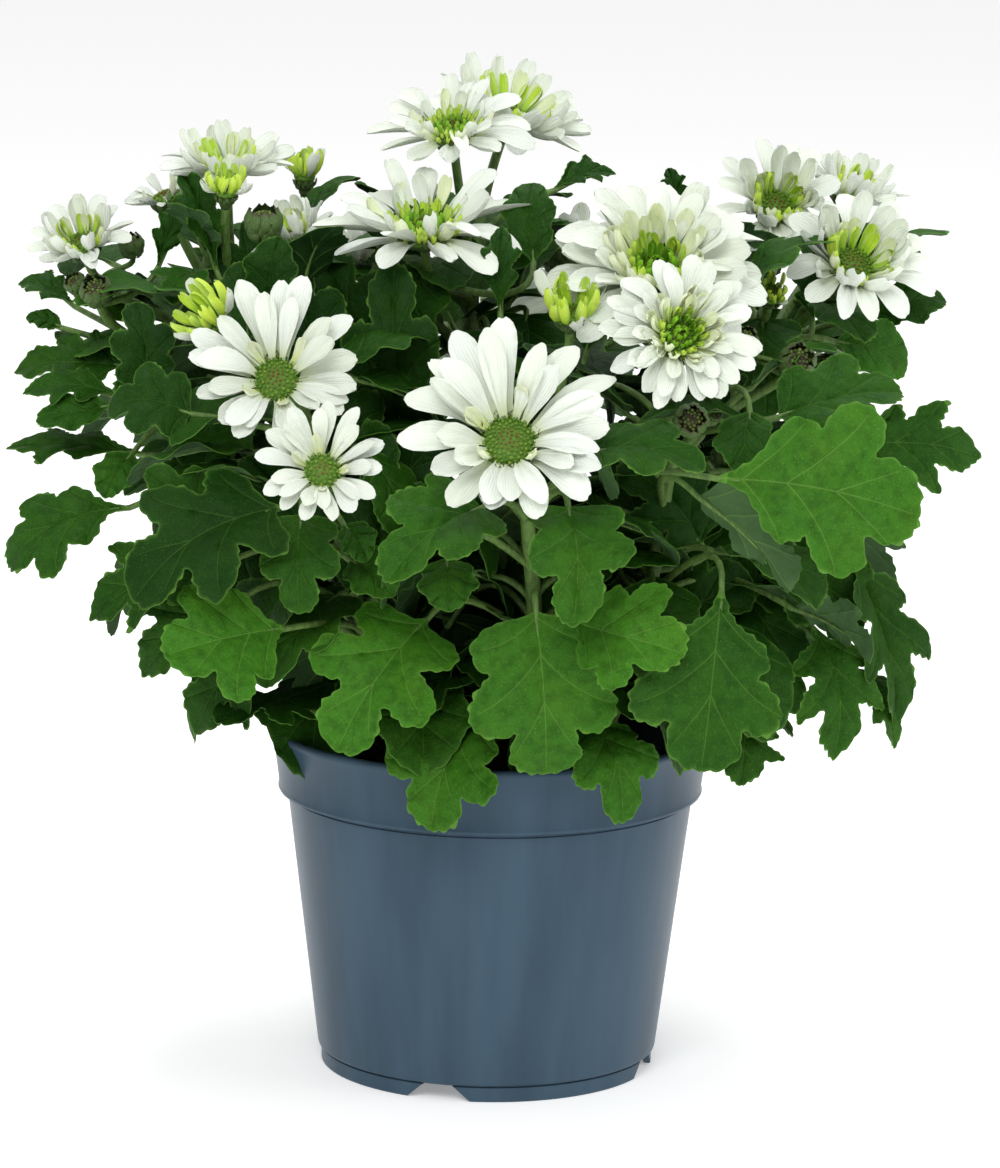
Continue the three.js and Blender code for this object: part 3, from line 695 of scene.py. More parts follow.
def gap_to_line(finish, x, y, start, end, taper):
    """How far the point (x, y) is from a line that thins by the taper towards its end."""
    run = Vector(end) - Vector(start)
    step = run / run.length_squared
    along = (x - start[0]) * step.x + (y - start[1]) * step.y
    share = finish.math("MINIMUM", finish.math("MAXIMUM", along, 0.0), 1.0)
    gap_x = x - start[0] - share * run.x
    gap_y = y - start[1] - share * run.y
    return finish.math("SQRT", gap_x * gap_x + gap_y * gap_y) / (1 - share * taper)


def bowed(point):
    """A point of the flat leaf where the veins, which bow towards the tip, run straight."""
    across = point[0] * LEAF_ASPECT
    return across, point[1] + VEIN_BOW * across ** 2


def leaf_finish(shape, plant):
    """A leaf: sunken pale veins, mottled downy green, a thin pale edge and a grey-green underside."""
    finish = Finish(f"leaf_{shape}")
    across, along = finish.sheet_place()
    place = finish.position()
    tone, under, edge = (finish.attribute(name) for name in ("tone", "under", "edge"))
    mottle = finish.noise(place, 260, 4)
    grain = finish.noise(place, 1100, 3, 0.7)
    down = finish.noise(place, 1900, 2)
    patches = finish.noise(place, 45, 2)
    x = finish.math("ABSOLUTE", across - 0.5) * (2 * LEAF_ASPECT)
    y = along + x * x * VEIN_BOW
    gap = gap_to_line(finish, x, y, (0, 0), (0, 0.96), 0.5)
    for start, end in LEAF_VEINS[shape]:
        gap = finish.math("MINIMUM", gap, gap_to_line(finish, x, y, start, bowed(end), 0.55) * 1.6)
    vein = 1 - finish.smooth(gap, 0.0, VEIN_HALF_WIDTH)
    valley = 1 - finish.smooth(gap, 0.0, 0.05)
    # Painted light and shade: the attribute tone darkens the green of leaves that lie in shade and brightens
    # lit ones, and the pale veins, the down, the yellow patches and the underside's grey-green grow with it.
    lit = finish.math("MINIMUM", tone + (patches - 0.5) * 0.3, 1.0)
    blade = finish.mix(lit, plant.dark_and_shaded_leaf_green, plant.lit_leaf_green)
    blade = finish.mix(finish.smooth(mottle, 0.4, 0.7) * 0.4, blade, plant.dark_and_shaded_leaf_green)
    blade = finish.mix(finish.smooth(patches, 0.4, 0.8) * tone * 0.25, blade, plant.leaf_yellow)
    blade = finish.mix(finish.smooth(grain, 0.5, 0.75) * 0.3, blade, plant.dark_and_shaded_leaf_green)
    veined = finish.mix(vein * (0.14 + 0.3 * tone) + valley * 0.05 * tone, blade, plant.vein)
    pale = finish.smooth(down, 0.56, 0.72) * (0.1 + 0.22 * tone) + edge ** 9 * 0.4
    speckled = finish.mix(pale, veined, plant.vein)
    shaded = finish.mix(finish.smooth(tone, 0.1, 0.5), plant.dark_and_shaded_leaf_green, plant.leaf_under)
    below = finish.mix(vein * 0.6, shaded, plant.vein)
    quilt = finish.noise(place, 120, 2)
    sunken = (0.4 * valley + 0.2 * vein) * (1 - 1.8 * under)
    relief = 0.2 * down + 0.4 * grain + 1.2 * mottle + 2.2 * quilt - sunken
    return finish.ends_in(
        Base_Color=finish.mix(under, speckled, below),
        Roughness=0.46 + 0.16 * mottle + 0.2 * under,
        Normal=finish.bump(relief, 0.0008, 0.75),
        Subsurface_Weight=0.08,
        Subsurface_Radius=(0.4, 1.0, 0.15),
        Subsurface_Scale=0.001,
        Specular_IOR_Level=0.1,
    )


def petal_finish(name, colour, base, reach, veins=9):
    """A petal: one colour that turns to another near its base, with fine veins along it."""
    finish = Finish(name)
    across, along = finish.sheet_place()
    tone = finish.attribute("tone")
    place = finish.position()
    wave = finish.math("SINE", across * (veins * 2 * math.pi) + 2 * finish.noise(place, 90, 2))
    # Towards the foot the colour turns to the base colour: a real green-cream tint, and on the white petals
    # also painted shade where they crowd round the disc.
    foot = 1 - finish.smooth(along, 0.02, reach)
    creamier = finish.mix(tone * 0.18, colour, base)
    tinted = finish.mix(foot * 0.8 + 0.05 * wave * foot, creamier, base)
    return finish.ends_in(
        Base_Color=tinted,
        Roughness=0.55,
        Normal=finish.bump(wave, 0.0001, 0.5),
        Subsurface_Weight=0.18,
        Subsurface_Radius=(0.9, 1.0, 0.7),
        Subsurface_Scale=0.0015,
        Specular_IOR_Level=0.3,
    )


def disc_finish(name, green, rust):
    """Disc florets: green at the edge, with a rust-brown downy middle."""
    finish = Finish(name)
    ring, tone = finish.attribute("ring"), finish.attribute("tone")
    speck = finish.noise(finish.position(), 900, 2)
    yellower = finish.mix(tone * 0.35, green, linear(160, 176, 60))
    middle = (1 - finish.smooth(ring, 0.2, 0.58)) * (0.7 + 0.3 * finish.smooth(speck, 0.4, 0.6))
    return finish.ends_in(
        Base_Color=finish.mix(middle, yellower, rust),
        Roughness=0.7,
        Normal=finish.bump(speck, 0.0002),
    )


def stem_finish(colour):
    """A downy green stem that turns woody brown at the soil."""
    finish = Finish("stem_surface")
    place = finish.position()
    height = finish.part(place, "Z")
    streaks = finish.noise(finish.vector("MULTIPLY", place, (700, 700, 60)), 1.0, 3)
    down = finish.noise(place, 2200, 2)
    woody = 1 - finish.smooth(height + 0.02 * streaks, 0.098, 0.135)
    green = finish.mix(finish.smooth(streaks, 0.35, 0.65), shade(colour, 0.6), colour)
    downy = finish.mix(finish.smooth(down, 0.62, 0.75) * 0.3, green, linear(190, 205, 160))
    return finish.ends_in(
        Base_Color=finish.mix(woody * 0.8, downy, linear(108, 84, 56)),
        Roughness=0.55,
        Normal=finish.bump(streaks + 0.5 * down, 0.0003),
        Specular_IOR_Level=0.4,
    )


def bract_finish(colour, edge):
    """A bract: green with a downy back and a dark papery edge."""
    finish = Finish("bract_surface")
    across, along = finish.sheet_place()
    down = finish.noise(finish.position(), 1900, 2)
    from_middle = finish.math("ABSOLUTE", across - 0.5)
    rim = finish.smooth(along, 0.86, 1.0) + finish.smooth(from_middle, 0.43, 0.5) * 0.3
    downy = finish.mix(finish.smooth(down, 0.5, 0.8) * 0.35, colour, linear(150, 165, 120))
    return finish.ends_in(
        Base_Color=finish.mix(finish.math("MINIMUM", rim, 1.0) * 0.85, downy, edge),
        Roughness=0.7,
        Normal=finish.bump(down, 0.0002),
    )


class Sheet(NamedTuple):
    """One layer of a thin sheet: points, faces with the same number of corners, rim points and UVs."""

    points: np.ndarray
    faces: np.ndarray
    rim: np.ndarray
    uvs: np.ndarray


def point_normals(points, faces):
    first, second, third = (points[faces[:, corner]] for corner in range(3))
    directions = np.cross(second - first, third - first)
    normals = np.zeros_like(points)
    for corner in range(faces.shape[1]):
        np.add.at(normals, faces[:, corner], directions)
    return normals / np.maximum(np.linalg.norm(normals, axis=1), 1e-12)[:, None]


def rim_edges(faces):
    """The directed edges that only one face uses."""
    following = np.roll(faces, -1, 1)
    sides = [np.stack([faces[:, i], following[:, i]], 1) for i in range(faces.shape[1])]
    used = {tuple(edge) for edge in np.concatenate(sides).tolist()}
    return [edge for edge in used if edge[::-1] not in used]


def closed_mesh(name, sheet, thickness, rim_share=0.0, marks=None):
    """Two layers of the sheet: they meet at its rim, or a wall as thick as the share joins them there.

    The attribute under is 0 on the upper layer and 1 on the lower one.
    """
    points, faces = sheet.points, sheet.faces
    walled = rim_share > 0
    doubled = np.ones(len(points), bool) if walled else ~sheet.rim
    half = thickness / 2 * np.where(sheet.rim, rim_share, 1.0)
    shift = point_normals(points, faces) * half[:, None]
    below = np.arange(len(points))
    below[doubled] = len(points) + np.arange(doubled.sum())
    vertices = np.vstack([points + shift, (points - shift)[doubled]])
    polygons = [*faces.tolist(), *below[faces[:, ::-1]].tolist()]
    if walled:
        polygons += [[end, start, int(below[start]), int(below[end])] for start, end in rim_edges(faces)]
    mesh = bpy.data.meshes.new(name)
    mesh.from_pydata(vertices.tolist(), [], polygons, shade_flat=False)
    uvs = np.vstack([sheet.uvs, sheet.uvs[doubled]])
    corners = np.concatenate([np.array(polygon) for polygon in polygons])
    layer = mesh.uv_layers.new(name=UV_NAME)
    layer.data.foreach_set("uv", uvs[corners].ravel().astype(np.float32))
    under = np.zeros(len(polygons))
    under[len(faces):2 * len(faces)] = 1
    mesh.attributes.new("under", "FLOAT", "FACE").data.foreach_set("value", under)
    for mark, values in (marks or {}).items():
        both = np.concatenate([values, values[doubled]])
        mesh.attributes.new(mark, "FLOAT", "POINT").data.foreach_set("value", both)
    mesh.set_sharp_from_angle(angle=math.radians(70))
    return mesh


def set_mark(mesh, name, value):
    """Gives every point of the mesh the same value of an attribute."""
    attribute = mesh.attributes.get(name) or mesh.attributes.new(name, "FLOAT", "POINT")
    attribute.data.foreach_set("value", np.full(len(mesh.vertices), value, np.float32))


def turned_mesh(name, profile, sides, unit=1.0, star=0.0):
    """A closed solid of revolution about +Z, its profile in the unit; star pushes every other side in."""
    rings = len(profile)
    turn = np.arange(sides) * (2 * math.pi / sides)
    points = []
    for radius, height in profile:
        wavy = radius * (1 - star * (np.arange(sides) % 2))
        points += [
            (r * unit * math.cos(a), r * unit * math.sin(a), height * unit) for r, a in zip(wavy, turn)
        ]
    faces = []
    for ring in range(rings - 1):
        for side in range(sides):
            after = (side + 1) % sides
            low, high = ring * sides, (ring + 1) * sides
            faces.append((low + side, low + after, high + after, high + side))
    faces.append(tuple(reversed(range(sides))))
    faces.append(tuple(range((rings - 1) * sides, rings * sides)))
    mesh = bpy.data.meshes.new(name)
    mesh.from_pydata(points, [], faces, shade_flat=False)
    layer = mesh.uv_layers.new(name=UV_NAME)
    layer.data.foreach_set("uv", np.zeros(2 * len(mesh.loops), np.float32))
    return mesh


def linked(name, data):
    """A new object in the scene that holds a mesh, a light or a camera."""
    item = bpy.data.objects.new(name, data)
    bpy.context.scene.collection.objects.link(item)
    return item


def piece_from(name, meshes):
    """One object that holds the meshes, which are already in place."""
    if not meshes or not all(len(mesh.polygons) for mesh in meshes):
        raise RuntimeError(f"{name} has a mesh with no faces")
    objects = [linked(name, mesh) for mesh in meshes]
    whole = objects[0]
    if len(objects) > 1:
        with bpy.context.temp_override(
            active_object=whole, object=whole, selected_objects=objects, selected_editable_objects=objects,
        ):
            bpy.ops.object.join()
    whole.name = name
    return whole


def settle(piece, slot, *nodes):
    """Makes a finished piece stand for its frame nodes and ride with the frame."""
    if nodes:
        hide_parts(*nodes)
    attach(piece, BODY)


def new_tree(name, sockets):
    """A geometry tree with named inputs, its graph and the signals of its inputs."""
    tree = bpy.data.node_groups.new(name, "GeometryNodeTree")
    for label, kind, default in sockets:
        socket = tree.interface.new_socket(label, in_out="INPUT", socket_type="NodeSocket" + kind)
        if default is not None:
            socket.default_value = default
    tree.interface.new_socket("Geometry", in_out="OUTPUT", socket_type="NodeSocketGeometry")
    graph = Graph(tree)
    entry = tree.nodes.new("NodeGroupInput")
    given = {label: Signal(graph, entry.outputs[label]) for label, _, _ in sockets}
    return graph, given


def close_tree(graph, geometry, finish):
    """Ends a tree in real geometry with its finish."""
    real = graph.add("GeometryNodeRealizeInstances", None, {"Geometry": geometry})
    finished = graph.add("GeometryNodeSetMaterial", None, {"Geometry": real, "Material": finish})
    leave = graph.tree.nodes.new("NodeGroupOutput")
    graph.feed(leave.inputs[0], finished)
    return graph.tree


def grown(tree, values, start=None):
    """The plain mesh that a tree makes, with its named inputs set, from a start mesh."""
    carrier = linked("carrier", start or bpy.data.meshes.new("carrier"))
    modifier = carrier.modifiers.new("grow", "NODES")
    modifier.node_group = tree
    for item in tree.interface.items_tree:
        if item.in_out == "INPUT" and item.name in values:
            value = values[item.name]
            if item.socket_type == "NodeSocketFloat":
                value = float(value)
            modifier[item.identifier] = value
    depsgraph = bpy.context.evaluated_depsgraph_get()
    evaluated = carrier.evaluated_get(depsgraph)
    mesh = bpy.data.meshes.new_from_object(evaluated, preserve_all_data_layers=True, depsgraph=depsgraph)
    bpy.data.objects.remove(carrier)
    return mesh


def with_mark(graph, copies, name, value):
    """The copies, each with its own value of an attribute."""
    return graph.add(
        "GeometryNodeStoreNamedAttribute", {"data_type": "FLOAT", "domain": "INSTANCE"},
        {"Geometry": copies, "Name": name, "Value": value},
    )


def placed_copies(graph, given, points, rotation, scale):
    """Copies of the tree's pieces on points, each picked at random."""
    members = graph.add(
        "GeometryNodeCollectionInfo", None,
        {"Collection": given["Pieces"], "Separate Children": True, "Reset Children": True},
    )
    return graph.add("GeometryNodeInstanceOnPoints", None, {
        "Points": points, "Instance": members, "Pick Instance": True,
        "Instance Index": graph.random(0, 99, given["Seed"], 7, "INT"),
        "Rotation": rotation, "Scale": scale,
    })


def whorl_tree():
    """Petals or bracts round a ring, which rise from its plane, sag with gravity and differ a little."""
    graph, given = new_tree("whorl", [
        ("Pieces", "Collection", None),
        ("Count", "Int", 12),
        ("Ring radius", "Float", 0.006),
        ("Height", "Float", 0.0),
        ("Length", "Float", 0.03),
        ("Width", "Float", 0.009),
        ("Rise", "Float", 0.4),
        ("Unevenness", "Float", 1.0),
        ("Turn", "Float", 0.0),
        ("Down", "Vector", (0, 0, -1)),
        ("Sag", "Float", 0.0),
        ("Lopsided", "Float", 0.0),
        ("Seed", "Int", 1),
        ("Finish", "Material", None),
    ])
    seed, uneven = given["Seed"], given["Unevenness"]
    index = graph.add("GeometryNodeInputIndex")
    jitter = graph.random(-PLACE_JITTER, PLACE_JITTER, seed, 1) * uneven
    angle = (index + jitter) / given["Count"] * (2 * math.pi) + given["Turn"]
    ring = given["Ring radius"]
    spot = graph.combined(
        graph.math("COSINE", angle) * ring, graph.math("SINE", angle) * ring, given["Height"],
    )
    points = graph.add("GeometryNodePoints", None, {"Count": given["Count"], "Position": spot})
    rise = given["Rise"] + graph.random(-RISE_JITTER, RISE_JITTER, seed, 2) * uneven
    roll = graph.random(-ROLL_JITTER, ROLL_JITTER, seed, 3) * uneven
    turn = angle - math.pi / 2 + graph.random(-TURN_JITTER, TURN_JITTER, seed, 4) * uneven
    way = graph.combined(graph.math("COSINE", angle), graph.math("SINE", angle), 0.0)
    downwards = graph.add(
        "ShaderNodeVectorMath", {"operation": "DOT_PRODUCT"}, {0: way, 1: given["Down"]}, "Value",
    )
    longer = graph.random(-0.11, 0.09, seed, 5) * uneven - downwards * given["Lopsided"]
    length = given["Length"] * (1 + longer)
    width = given["Width"] * (1 + graph.random(-0.1, 0.12, seed, 6) * uneven)
    size = graph.combined(width, length, length)
    copies = placed_copies(graph, given, points, graph.turned(rise, roll, turn), size)
    marked = with_mark(graph, copies, "tone", graph.random(0, 1, seed, 8))
    real = graph.add("GeometryNodeRealizeInstances", None, {"Geometry": marked})
    place = graph.add("GeometryNodeInputPosition")
    flat = graph.vector("MULTIPLY", place, (1, 1, 0))
    out = graph.add("ShaderNodeVectorMath", {"operation": "LENGTH"}, {"Vector": flat}, "Value")
    drop = (out / given["Length"]) ** 2 * given["Length"] * given["Sag"]
    return close_tree(graph, graph.moved(real, graph.scaled(given["Down"], drop)), given["Finish"])


def floret_tree():
    """Disc florets in a golden-angle spiral over a dome, larger towards its edge."""
    graph, given = new_tree("florets", [
        ("Pieces", "Collection", None),
        ("Count", "Int", 80),
        ("Disc radius", "Float", 0.008),
        ("Dome", "Float", 0.002),
        ("Floret size", "Float", 0.0011),
        ("Seed", "Int", 1),
        ("Finish", "Material", None),
    ])
    seed, radius = given["Seed"], given["Disc radius"]
    index = graph.add("GeometryNodeInputIndex")
    share = graph.math("SQRT", (index + 0.5) / given["Count"])
    angle = index * GOLDEN_ANGLE
    x = graph.math("COSINE", angle) * share * radius
    y = graph.math("SINE", angle) * share * radius
    height = given["Dome"] * (1 - share * share)
    spot = graph.combined(x, y, height)
    points = graph.add("GeometryNodePoints", None, {"Count": given["Count"], "Position": spot})
    lean = 2 * given["Dome"] / (radius * radius)
    lean_x = x * lean + graph.random(-0.2, 0.2, seed, 1)
    lean_y = y * lean + graph.random(-0.2, 0.2, seed, 2)
    outwards = graph.combined(lean_x, lean_y, 1.0)
    rotation = graph.add("FunctionNodeAlignRotationToVector", {"axis": "Z"}, {"Vector": outwards})
    size = given["Floret size"] * (0.6 + 0.4 * share) * graph.random(0.85, 1.2, seed, 3)
    copies = placed_copies(graph, given, points, rotation, graph.combined(size, size, size))
    ringed = with_mark(graph, copies, "ring", share)
    marked = with_mark(graph, ringed, "tone", graph.random(0, 1, seed, 8))
    return close_tree(graph, marked, given["Finish"])


def tube_tree():
    """A ridged, tapering stalk along each line of a mesh, as thick as the line's attribute thick."""
    graph, given = new_tree("stalk", [
        ("Geometry", "Geometry", None),
        ("Sides", "Int", 10),
        ("Ridges", "Float", 0.08),
        ("Finish", "Material", None),
    ])
    line = graph.add("GeometryNodeMeshToCurve", None, {"Mesh": given["Geometry"]})
    ring = graph.add(
        "GeometryNodeCurvePrimitiveCircle", {"mode": "RADIUS"}, {"Resolution": given["Sides"], "Radius": 1.0},
    )
    index = graph.add("GeometryNodeInputIndex")
    inwards = graph.math("MODULO", index, 2.0) * given["Ridges"] * -1.0
    place = graph.add("GeometryNodeInputPosition")
    ridged = graph.moved(ring, graph.scaled(place, inwards))
    thick = graph.add("GeometryNodeInputNamedAttribute", {"data_type": "FLOAT"}, {"Name": "thick"})
    solid = graph.add(
        "GeometryNodeCurveToMesh", None,
        {"Curve": line, "Profile Curve": ridged, "Scale": thick, "Fill Caps": True},
    )
    return close_tree(graph, solid, given["Finish"])


def crumb_tree():
    """Crumbs of peat scattered over a surface, sunk in it and turned every way."""
    graph, given = new_tree("crumbs", [
        ("Geometry", "Geometry", None),
        ("Pieces", "Collection", None),
        ("Density", "Float", 90000.0),
        ("Crumb size", "Float", 0.0016),
        ("Seed", "Int", 4),
        ("Finish", "Material", None),
    ])
    upwards = graph.part(graph.add("GeometryNodeInputNormal"), "Z")
    points = graph.add(
        "GeometryNodeDistributePointsOnFaces", {"distribute_method": "RANDOM"},
        {
            "Mesh": given["Geometry"], "Density": given["Density"], "Seed": given["Seed"],
            "Selection": graph.math("GREATER_THAN", upwards, 0.7),
        },
    )
    seed = given["Seed"]
    rotation = graph.turned(*[graph.random(0, 2 * math.pi, seed, salt) for salt in (1, 2, 3)])
    size = given["Crumb size"] * graph.random(0.35, 1.3, seed, 5)
    copies = placed_copies(graph, given, points, rotation, graph.combined(size, size, size))
    both = graph.tree.nodes.new("GeometryNodeJoinGeometry")
    graph.tree.links.new(copies.socket, both.inputs[0])
    graph.tree.links.new(given["Geometry"].socket, both.inputs[0])
    return close_tree(graph, Signal(graph, both.outputs[0]), given["Finish"])


class Curl(NamedTuple):
    """How one petal differs: its bow along, curl at the tip, cup across, twist and notch, and how far it
    narrows to a claw at its foot."""

    bow: float
    tip: float
    cup: float
    twist: float
    notch: float
    spoon: float


PETAL_KINDS = {
    "ray": [
        Curl(0.05, -0.06, 0.06, 0.06, 0.02, 1.0),
        Curl(0.07, -0.14, 0.03, -0.14, 0.04, 1.0),
        Curl(0.02, 0.05, 0.09, 0.12, 0.0, 1.0),
        Curl(0.04, -0.03, 0.05, -0.06, 0.03, 0.9),
        Curl(0.09, -0.18, 0.07, 0.16, 0.01, 1.0),
        Curl(0.01, 0.09, 0.11, -0.10, 0.04, 0.8),
    ],
    "cup": [
        Curl(-0.06, 0.16, 0.14, 0.05, 0.03, 0.9),
        Curl(-0.04, 0.22, 0.18, -0.08, 0.04, 1.0),
        Curl(-0.08, 0.12, 0.10, 0.10, 0.02, 0.8),
    ],
    "quill": [
        Curl(-0.10, 0.20, 0.22, 0.05, 0.08, 0.5),
        Curl(-0.06, 0.28, 0.26, -0.10, 0.05, 0.4),
        Curl(-0.12, 0.14, 0.20, 0.12, 0.06, 0.6),
    ],
    "bract": [
        Curl(-0.16, 0.24, 0.10, 0.0, -0.10, 0.1),
        Curl(-0.14, 0.28, 0.12, 0.05, -0.12, 0.1),
    ],
}
# How far the petals of a whorl differ at most, in place, rise, roll and turn, and how far rays sag
PLACE_JITTER = 0.17
RISE_JITTER = 0.13
ROLL_JITTER = 0.3
TURN_JITTER = 0.1
RAY_SAG = 0.05
# How much longer the petals at the top of a head of each style are, and shorter at its foot
LOPSIDED = {"daisy": 0.24, "double": 0.16, "crown": 0.05, "cup": 0.05, "opening": 0.05}
# In millimetres: the rise from whorl to whorl, a floret's size and the florets for a disc radius of 1
WHORL_STEP = 0.12
FLORET_SIZE = 0.84
FLORETS_PER_SQUARE = 1.7
GOLDEN_ANGLE = math.radians(137.508)
# A petal one unit long: where its rows lie, and how thick, grooved and far along widest it is
PETAL_ROWS = (0, 0.16, 0.36, 0.56, 0.74, 0.87, 0.96, 1)
PETAL_COLUMNS = 5
PETAL_THICKNESS = 0.014
PETAL_GROOVE = 0.048
PETAL_WIDEST = 0.76


def petal_half_width(along, spoon):
    """Half a petal's width at a share of its length: a narrow claw that spreads into a round blade."""
    claw = 0.62 - 0.36 * spoon
    if along < PETAL_WIDEST:
        share = along / PETAL_WIDEST
        eased = share * share * (3 - 2 * share)
        return 0.5 * (claw + (1 - claw) * (spoon * eased + (1 - spoon) * math.sin(math.pi / 2 * share)))
    return 0.5 * math.sqrt(max(0.0, 1 - ((along - PETAL_WIDEST) / 0.27) ** 2))


def petal_sheet(curl):
    """A petal one unit long and wide: +Y runs to its tip and +Z is its upper face."""
    points, uvs, rim = [], [], []
    rows = len(PETAL_ROWS)
    for row, along in enumerate(PETAL_ROWS):
        half = petal_half_width(along, curl.spoon)
        for column in range(PETAL_COLUMNS):
            across = -1 + 2 * column / (PETAL_COLUMNS - 1)
            bow = curl.bow * math.sin(math.pi * along) + curl.tip * along ** 3
            groove = -PETAL_GROOVE * math.sin(math.pi * along) * (1 - abs(2 * abs(across) - 1))
            lift = bow + groove + curl.cup * across * across * math.sin(math.pi * min(1, along * 0.7 + 0.1))
            back = 0.05 * across * across * along ** 3 + curl.notch * (1 - abs(across)) ** 2 * along ** 6
            twist = curl.twist * along
            x = across * half
            points.append((x * math.cos(twist), along - back, lift + x * math.sin(twist)))
            uvs.append(((across + 1) / 2, along))
            rim.append(row in (0, rows - 1) or column in (0, PETAL_COLUMNS - 1))
    faces = [
        (corner, corner + 1, corner + 1 + PETAL_COLUMNS, corner + PETAL_COLUMNS)
        for row in range(rows - 1)
        for corner in range(row * PETAL_COLUMNS, (row + 1) * PETAL_COLUMNS - 1)
    ]
    return Sheet(np.array(points), np.array(faces), np.array(rim), np.array(uvs))


def hidden_collection(name, meshes):
    """A collection outside the scene, whose members the trees copy."""
    collection = bpy.data.collections.new(name)
    for number, mesh in enumerate(meshes):
        collection.objects.link(bpy.data.objects.new(f"{name}_{number}", mesh))
    return collection


def petal_collections():
    """For each kind of petal, its shapes."""
    return {
        kind: hidden_collection(
            kind, [closed_mesh(kind, petal_sheet(curl), PETAL_THICKNESS) for curl in curls],
        )
        for kind, curls in PETAL_KINDS.items()
    }


def floret_collection():
    """An open five-lobed floret and two closed ones."""
    opened = turned_mesh(
        "floret", [(0.25, -0.6), (0.35, 0.3), (0.85, 1.0), (0.75, 1.1), (0.2, 0.6)], 8, star=0.35,
    )
    closed = turned_mesh("floret", [(0.3, -0.6), (0.7, 0.2), (0.72, 0.8), (0.4, 1.15), (0.1, 1.25)], 6)
    return hidden_collection("floret", [opened, closed, closed.copy()])


def crumb_collection():
    """Four uneven crumbs of peat and a fibre."""
    generator = random.Random(11)
    meshes = []
    for _ in range(4):
        mesh = turned_mesh("crumb", [(0.35, -0.6), (0.9, -0.2), (0.8, 0.4), (0.3, 0.7)], 6)
        for vertex in mesh.vertices:
            vertex.co *= generator.uniform(0.7, 1.25)
        meshes.append(mesh)
    fibre = turned_mesh("crumb", [(0.12, -2.4), (0.16, 0), (0.1, 2.6)], 4)
    return hidden_collection("crumb", [*meshes, fibre])


def main_path(cutting):
    """The points of a cutting's main stem: a centripetal Catmull-Rom curve, in metres."""
    foot, bend, top = cutting
    nodes = np.array([(*foot, STEM_FOOT_HEIGHT), (*foot, SOIL_CENTRE_HEIGHT), bend, top], float) * MM
    ends = np.vstack([2 * nodes[0] - nodes[1], nodes, 2 * nodes[-1] - nodes[-2]])
    points = []
    for step in range(PATH_POINTS + 1):
        place = step / PATH_POINTS * (len(nodes) - 1)
        piece = min(int(place), len(nodes) - 2)
        before, start, end, after = ends[piece:piece + 4]
        first, middle, last = (
            np.linalg.norm(b - a) ** 0.5 for a, b in ((before, start), (start, end), (end, after))
        )
        run = end - start
        leaving = ((start - before) / first - (end - before) / (first + middle) + run / middle) * middle
        arriving = (run / middle - (after - start) / (middle + last) + (after - end) / last) * middle
        t = place - piece
        points.append(
            start + leaving * t + (3 * run - 2 * leaving - arriving) * t ** 2
            + (leaving + arriving - 2 * run) * t ** 3
        )
    return np.array(points)


def bezier(controls, steps):
    """Points of a Bezier curve through its first and last control."""
    degree = len(controls) - 1
    return np.array([
        sum(
            math.comb(degree, k) * (1 - t) ** (degree - k) * t ** k * np.array(control)
            for k, control in enumerate(controls)
        )
        for t in np.linspace(0, 1, steps + 1)
    ])


def rising_curve(start, end, way, steps):
    """A branch that sets off upwards and arrives along the way that its head faces."""
    reach = 0.4 * np.linalg.norm(end - start)
    return bezier([start, start + (0, 0, reach), end - way * reach, end], steps)


def branch_path(path, centre, facing, depth, index):
    """From the main stem up to the back of a head, arriving along the way the head faces."""
    way = np.array(Vector(facing).normalized())
    end = np.array(centre) * MM - way * (depth + GAP) * MM
    leaving = min(end[2] - BRANCH_RISE * MM, path[-1][2]) - index * BRANCH_STEP * MM
    kept = path[:-BARE_TOP_POINTS]
    start = next((point for point in kept if point[2] >= leaving), kept[-1])
    return rising_curve(start, end, way, BRANCH_STEPS)


@lru_cache
def cutting_paths(name):
    """A cutting's main path and the paths of its branches."""
    path = main_path(CUTTINGS[name])
    heads = [
        (head.centre, head.facing, CALYX_DEPTH)
        for head in [*BLOOMS.values(), *OPENINGS.values()] if head.cutting == name
    ]
    tips = [(bud.centre, bud.facing, bud.radius) for bud in BUDS.values() if bud.cutting == name]
    branches = [
        branch_path(path, centre, facing, depth, index)
        for index, (centre, facing, depth) in enumerate([*heads, *tips])
    ]
    return path, branches


def line_mesh(lines):
    """Open lines with the attribute thick: each line is its points and their radii."""
    points, edges, thick = [], [], []
    for line, radii in lines:
        first = len(points)
        points += [tuple(point) for point in line]
        thick += list(radii)
        edges += [(first + i, first + i + 1) for i in range(len(line) - 1)]
    mesh = bpy.data.meshes.new("line")
    mesh.from_pydata(points, edges, [])
    mesh.attributes.new("thick", "FLOAT", "POINT").data.foreach_set("value", thick)
    return mesh


def smoothed(points):
    """Corners cut once at a quarter of each side, with the ends kept."""
    points = np.array(points, float)
    cut = [points[0]]
    for start, end in zip(points[:-1], points[1:]):
        cut += [start * 0.75 + end * 0.25, start * 0.25 + end * 0.75]
    return np.array([*cut, points[-1]])


def evenly_spaced(points, spacing):
    """The same line through evenly spaced points, and how far along it each one is."""
    steps = np.linalg.norm(np.diff(points, axis=0), axis=1)
    run = np.concatenate([[0], np.cumsum(steps)])
    places = np.linspace(0, run[-1], round(run[-1] / spacing) + 1)
    return np.stack([np.interp(places, run, points[:, axis]) for axis in (0, 1)], 1), places


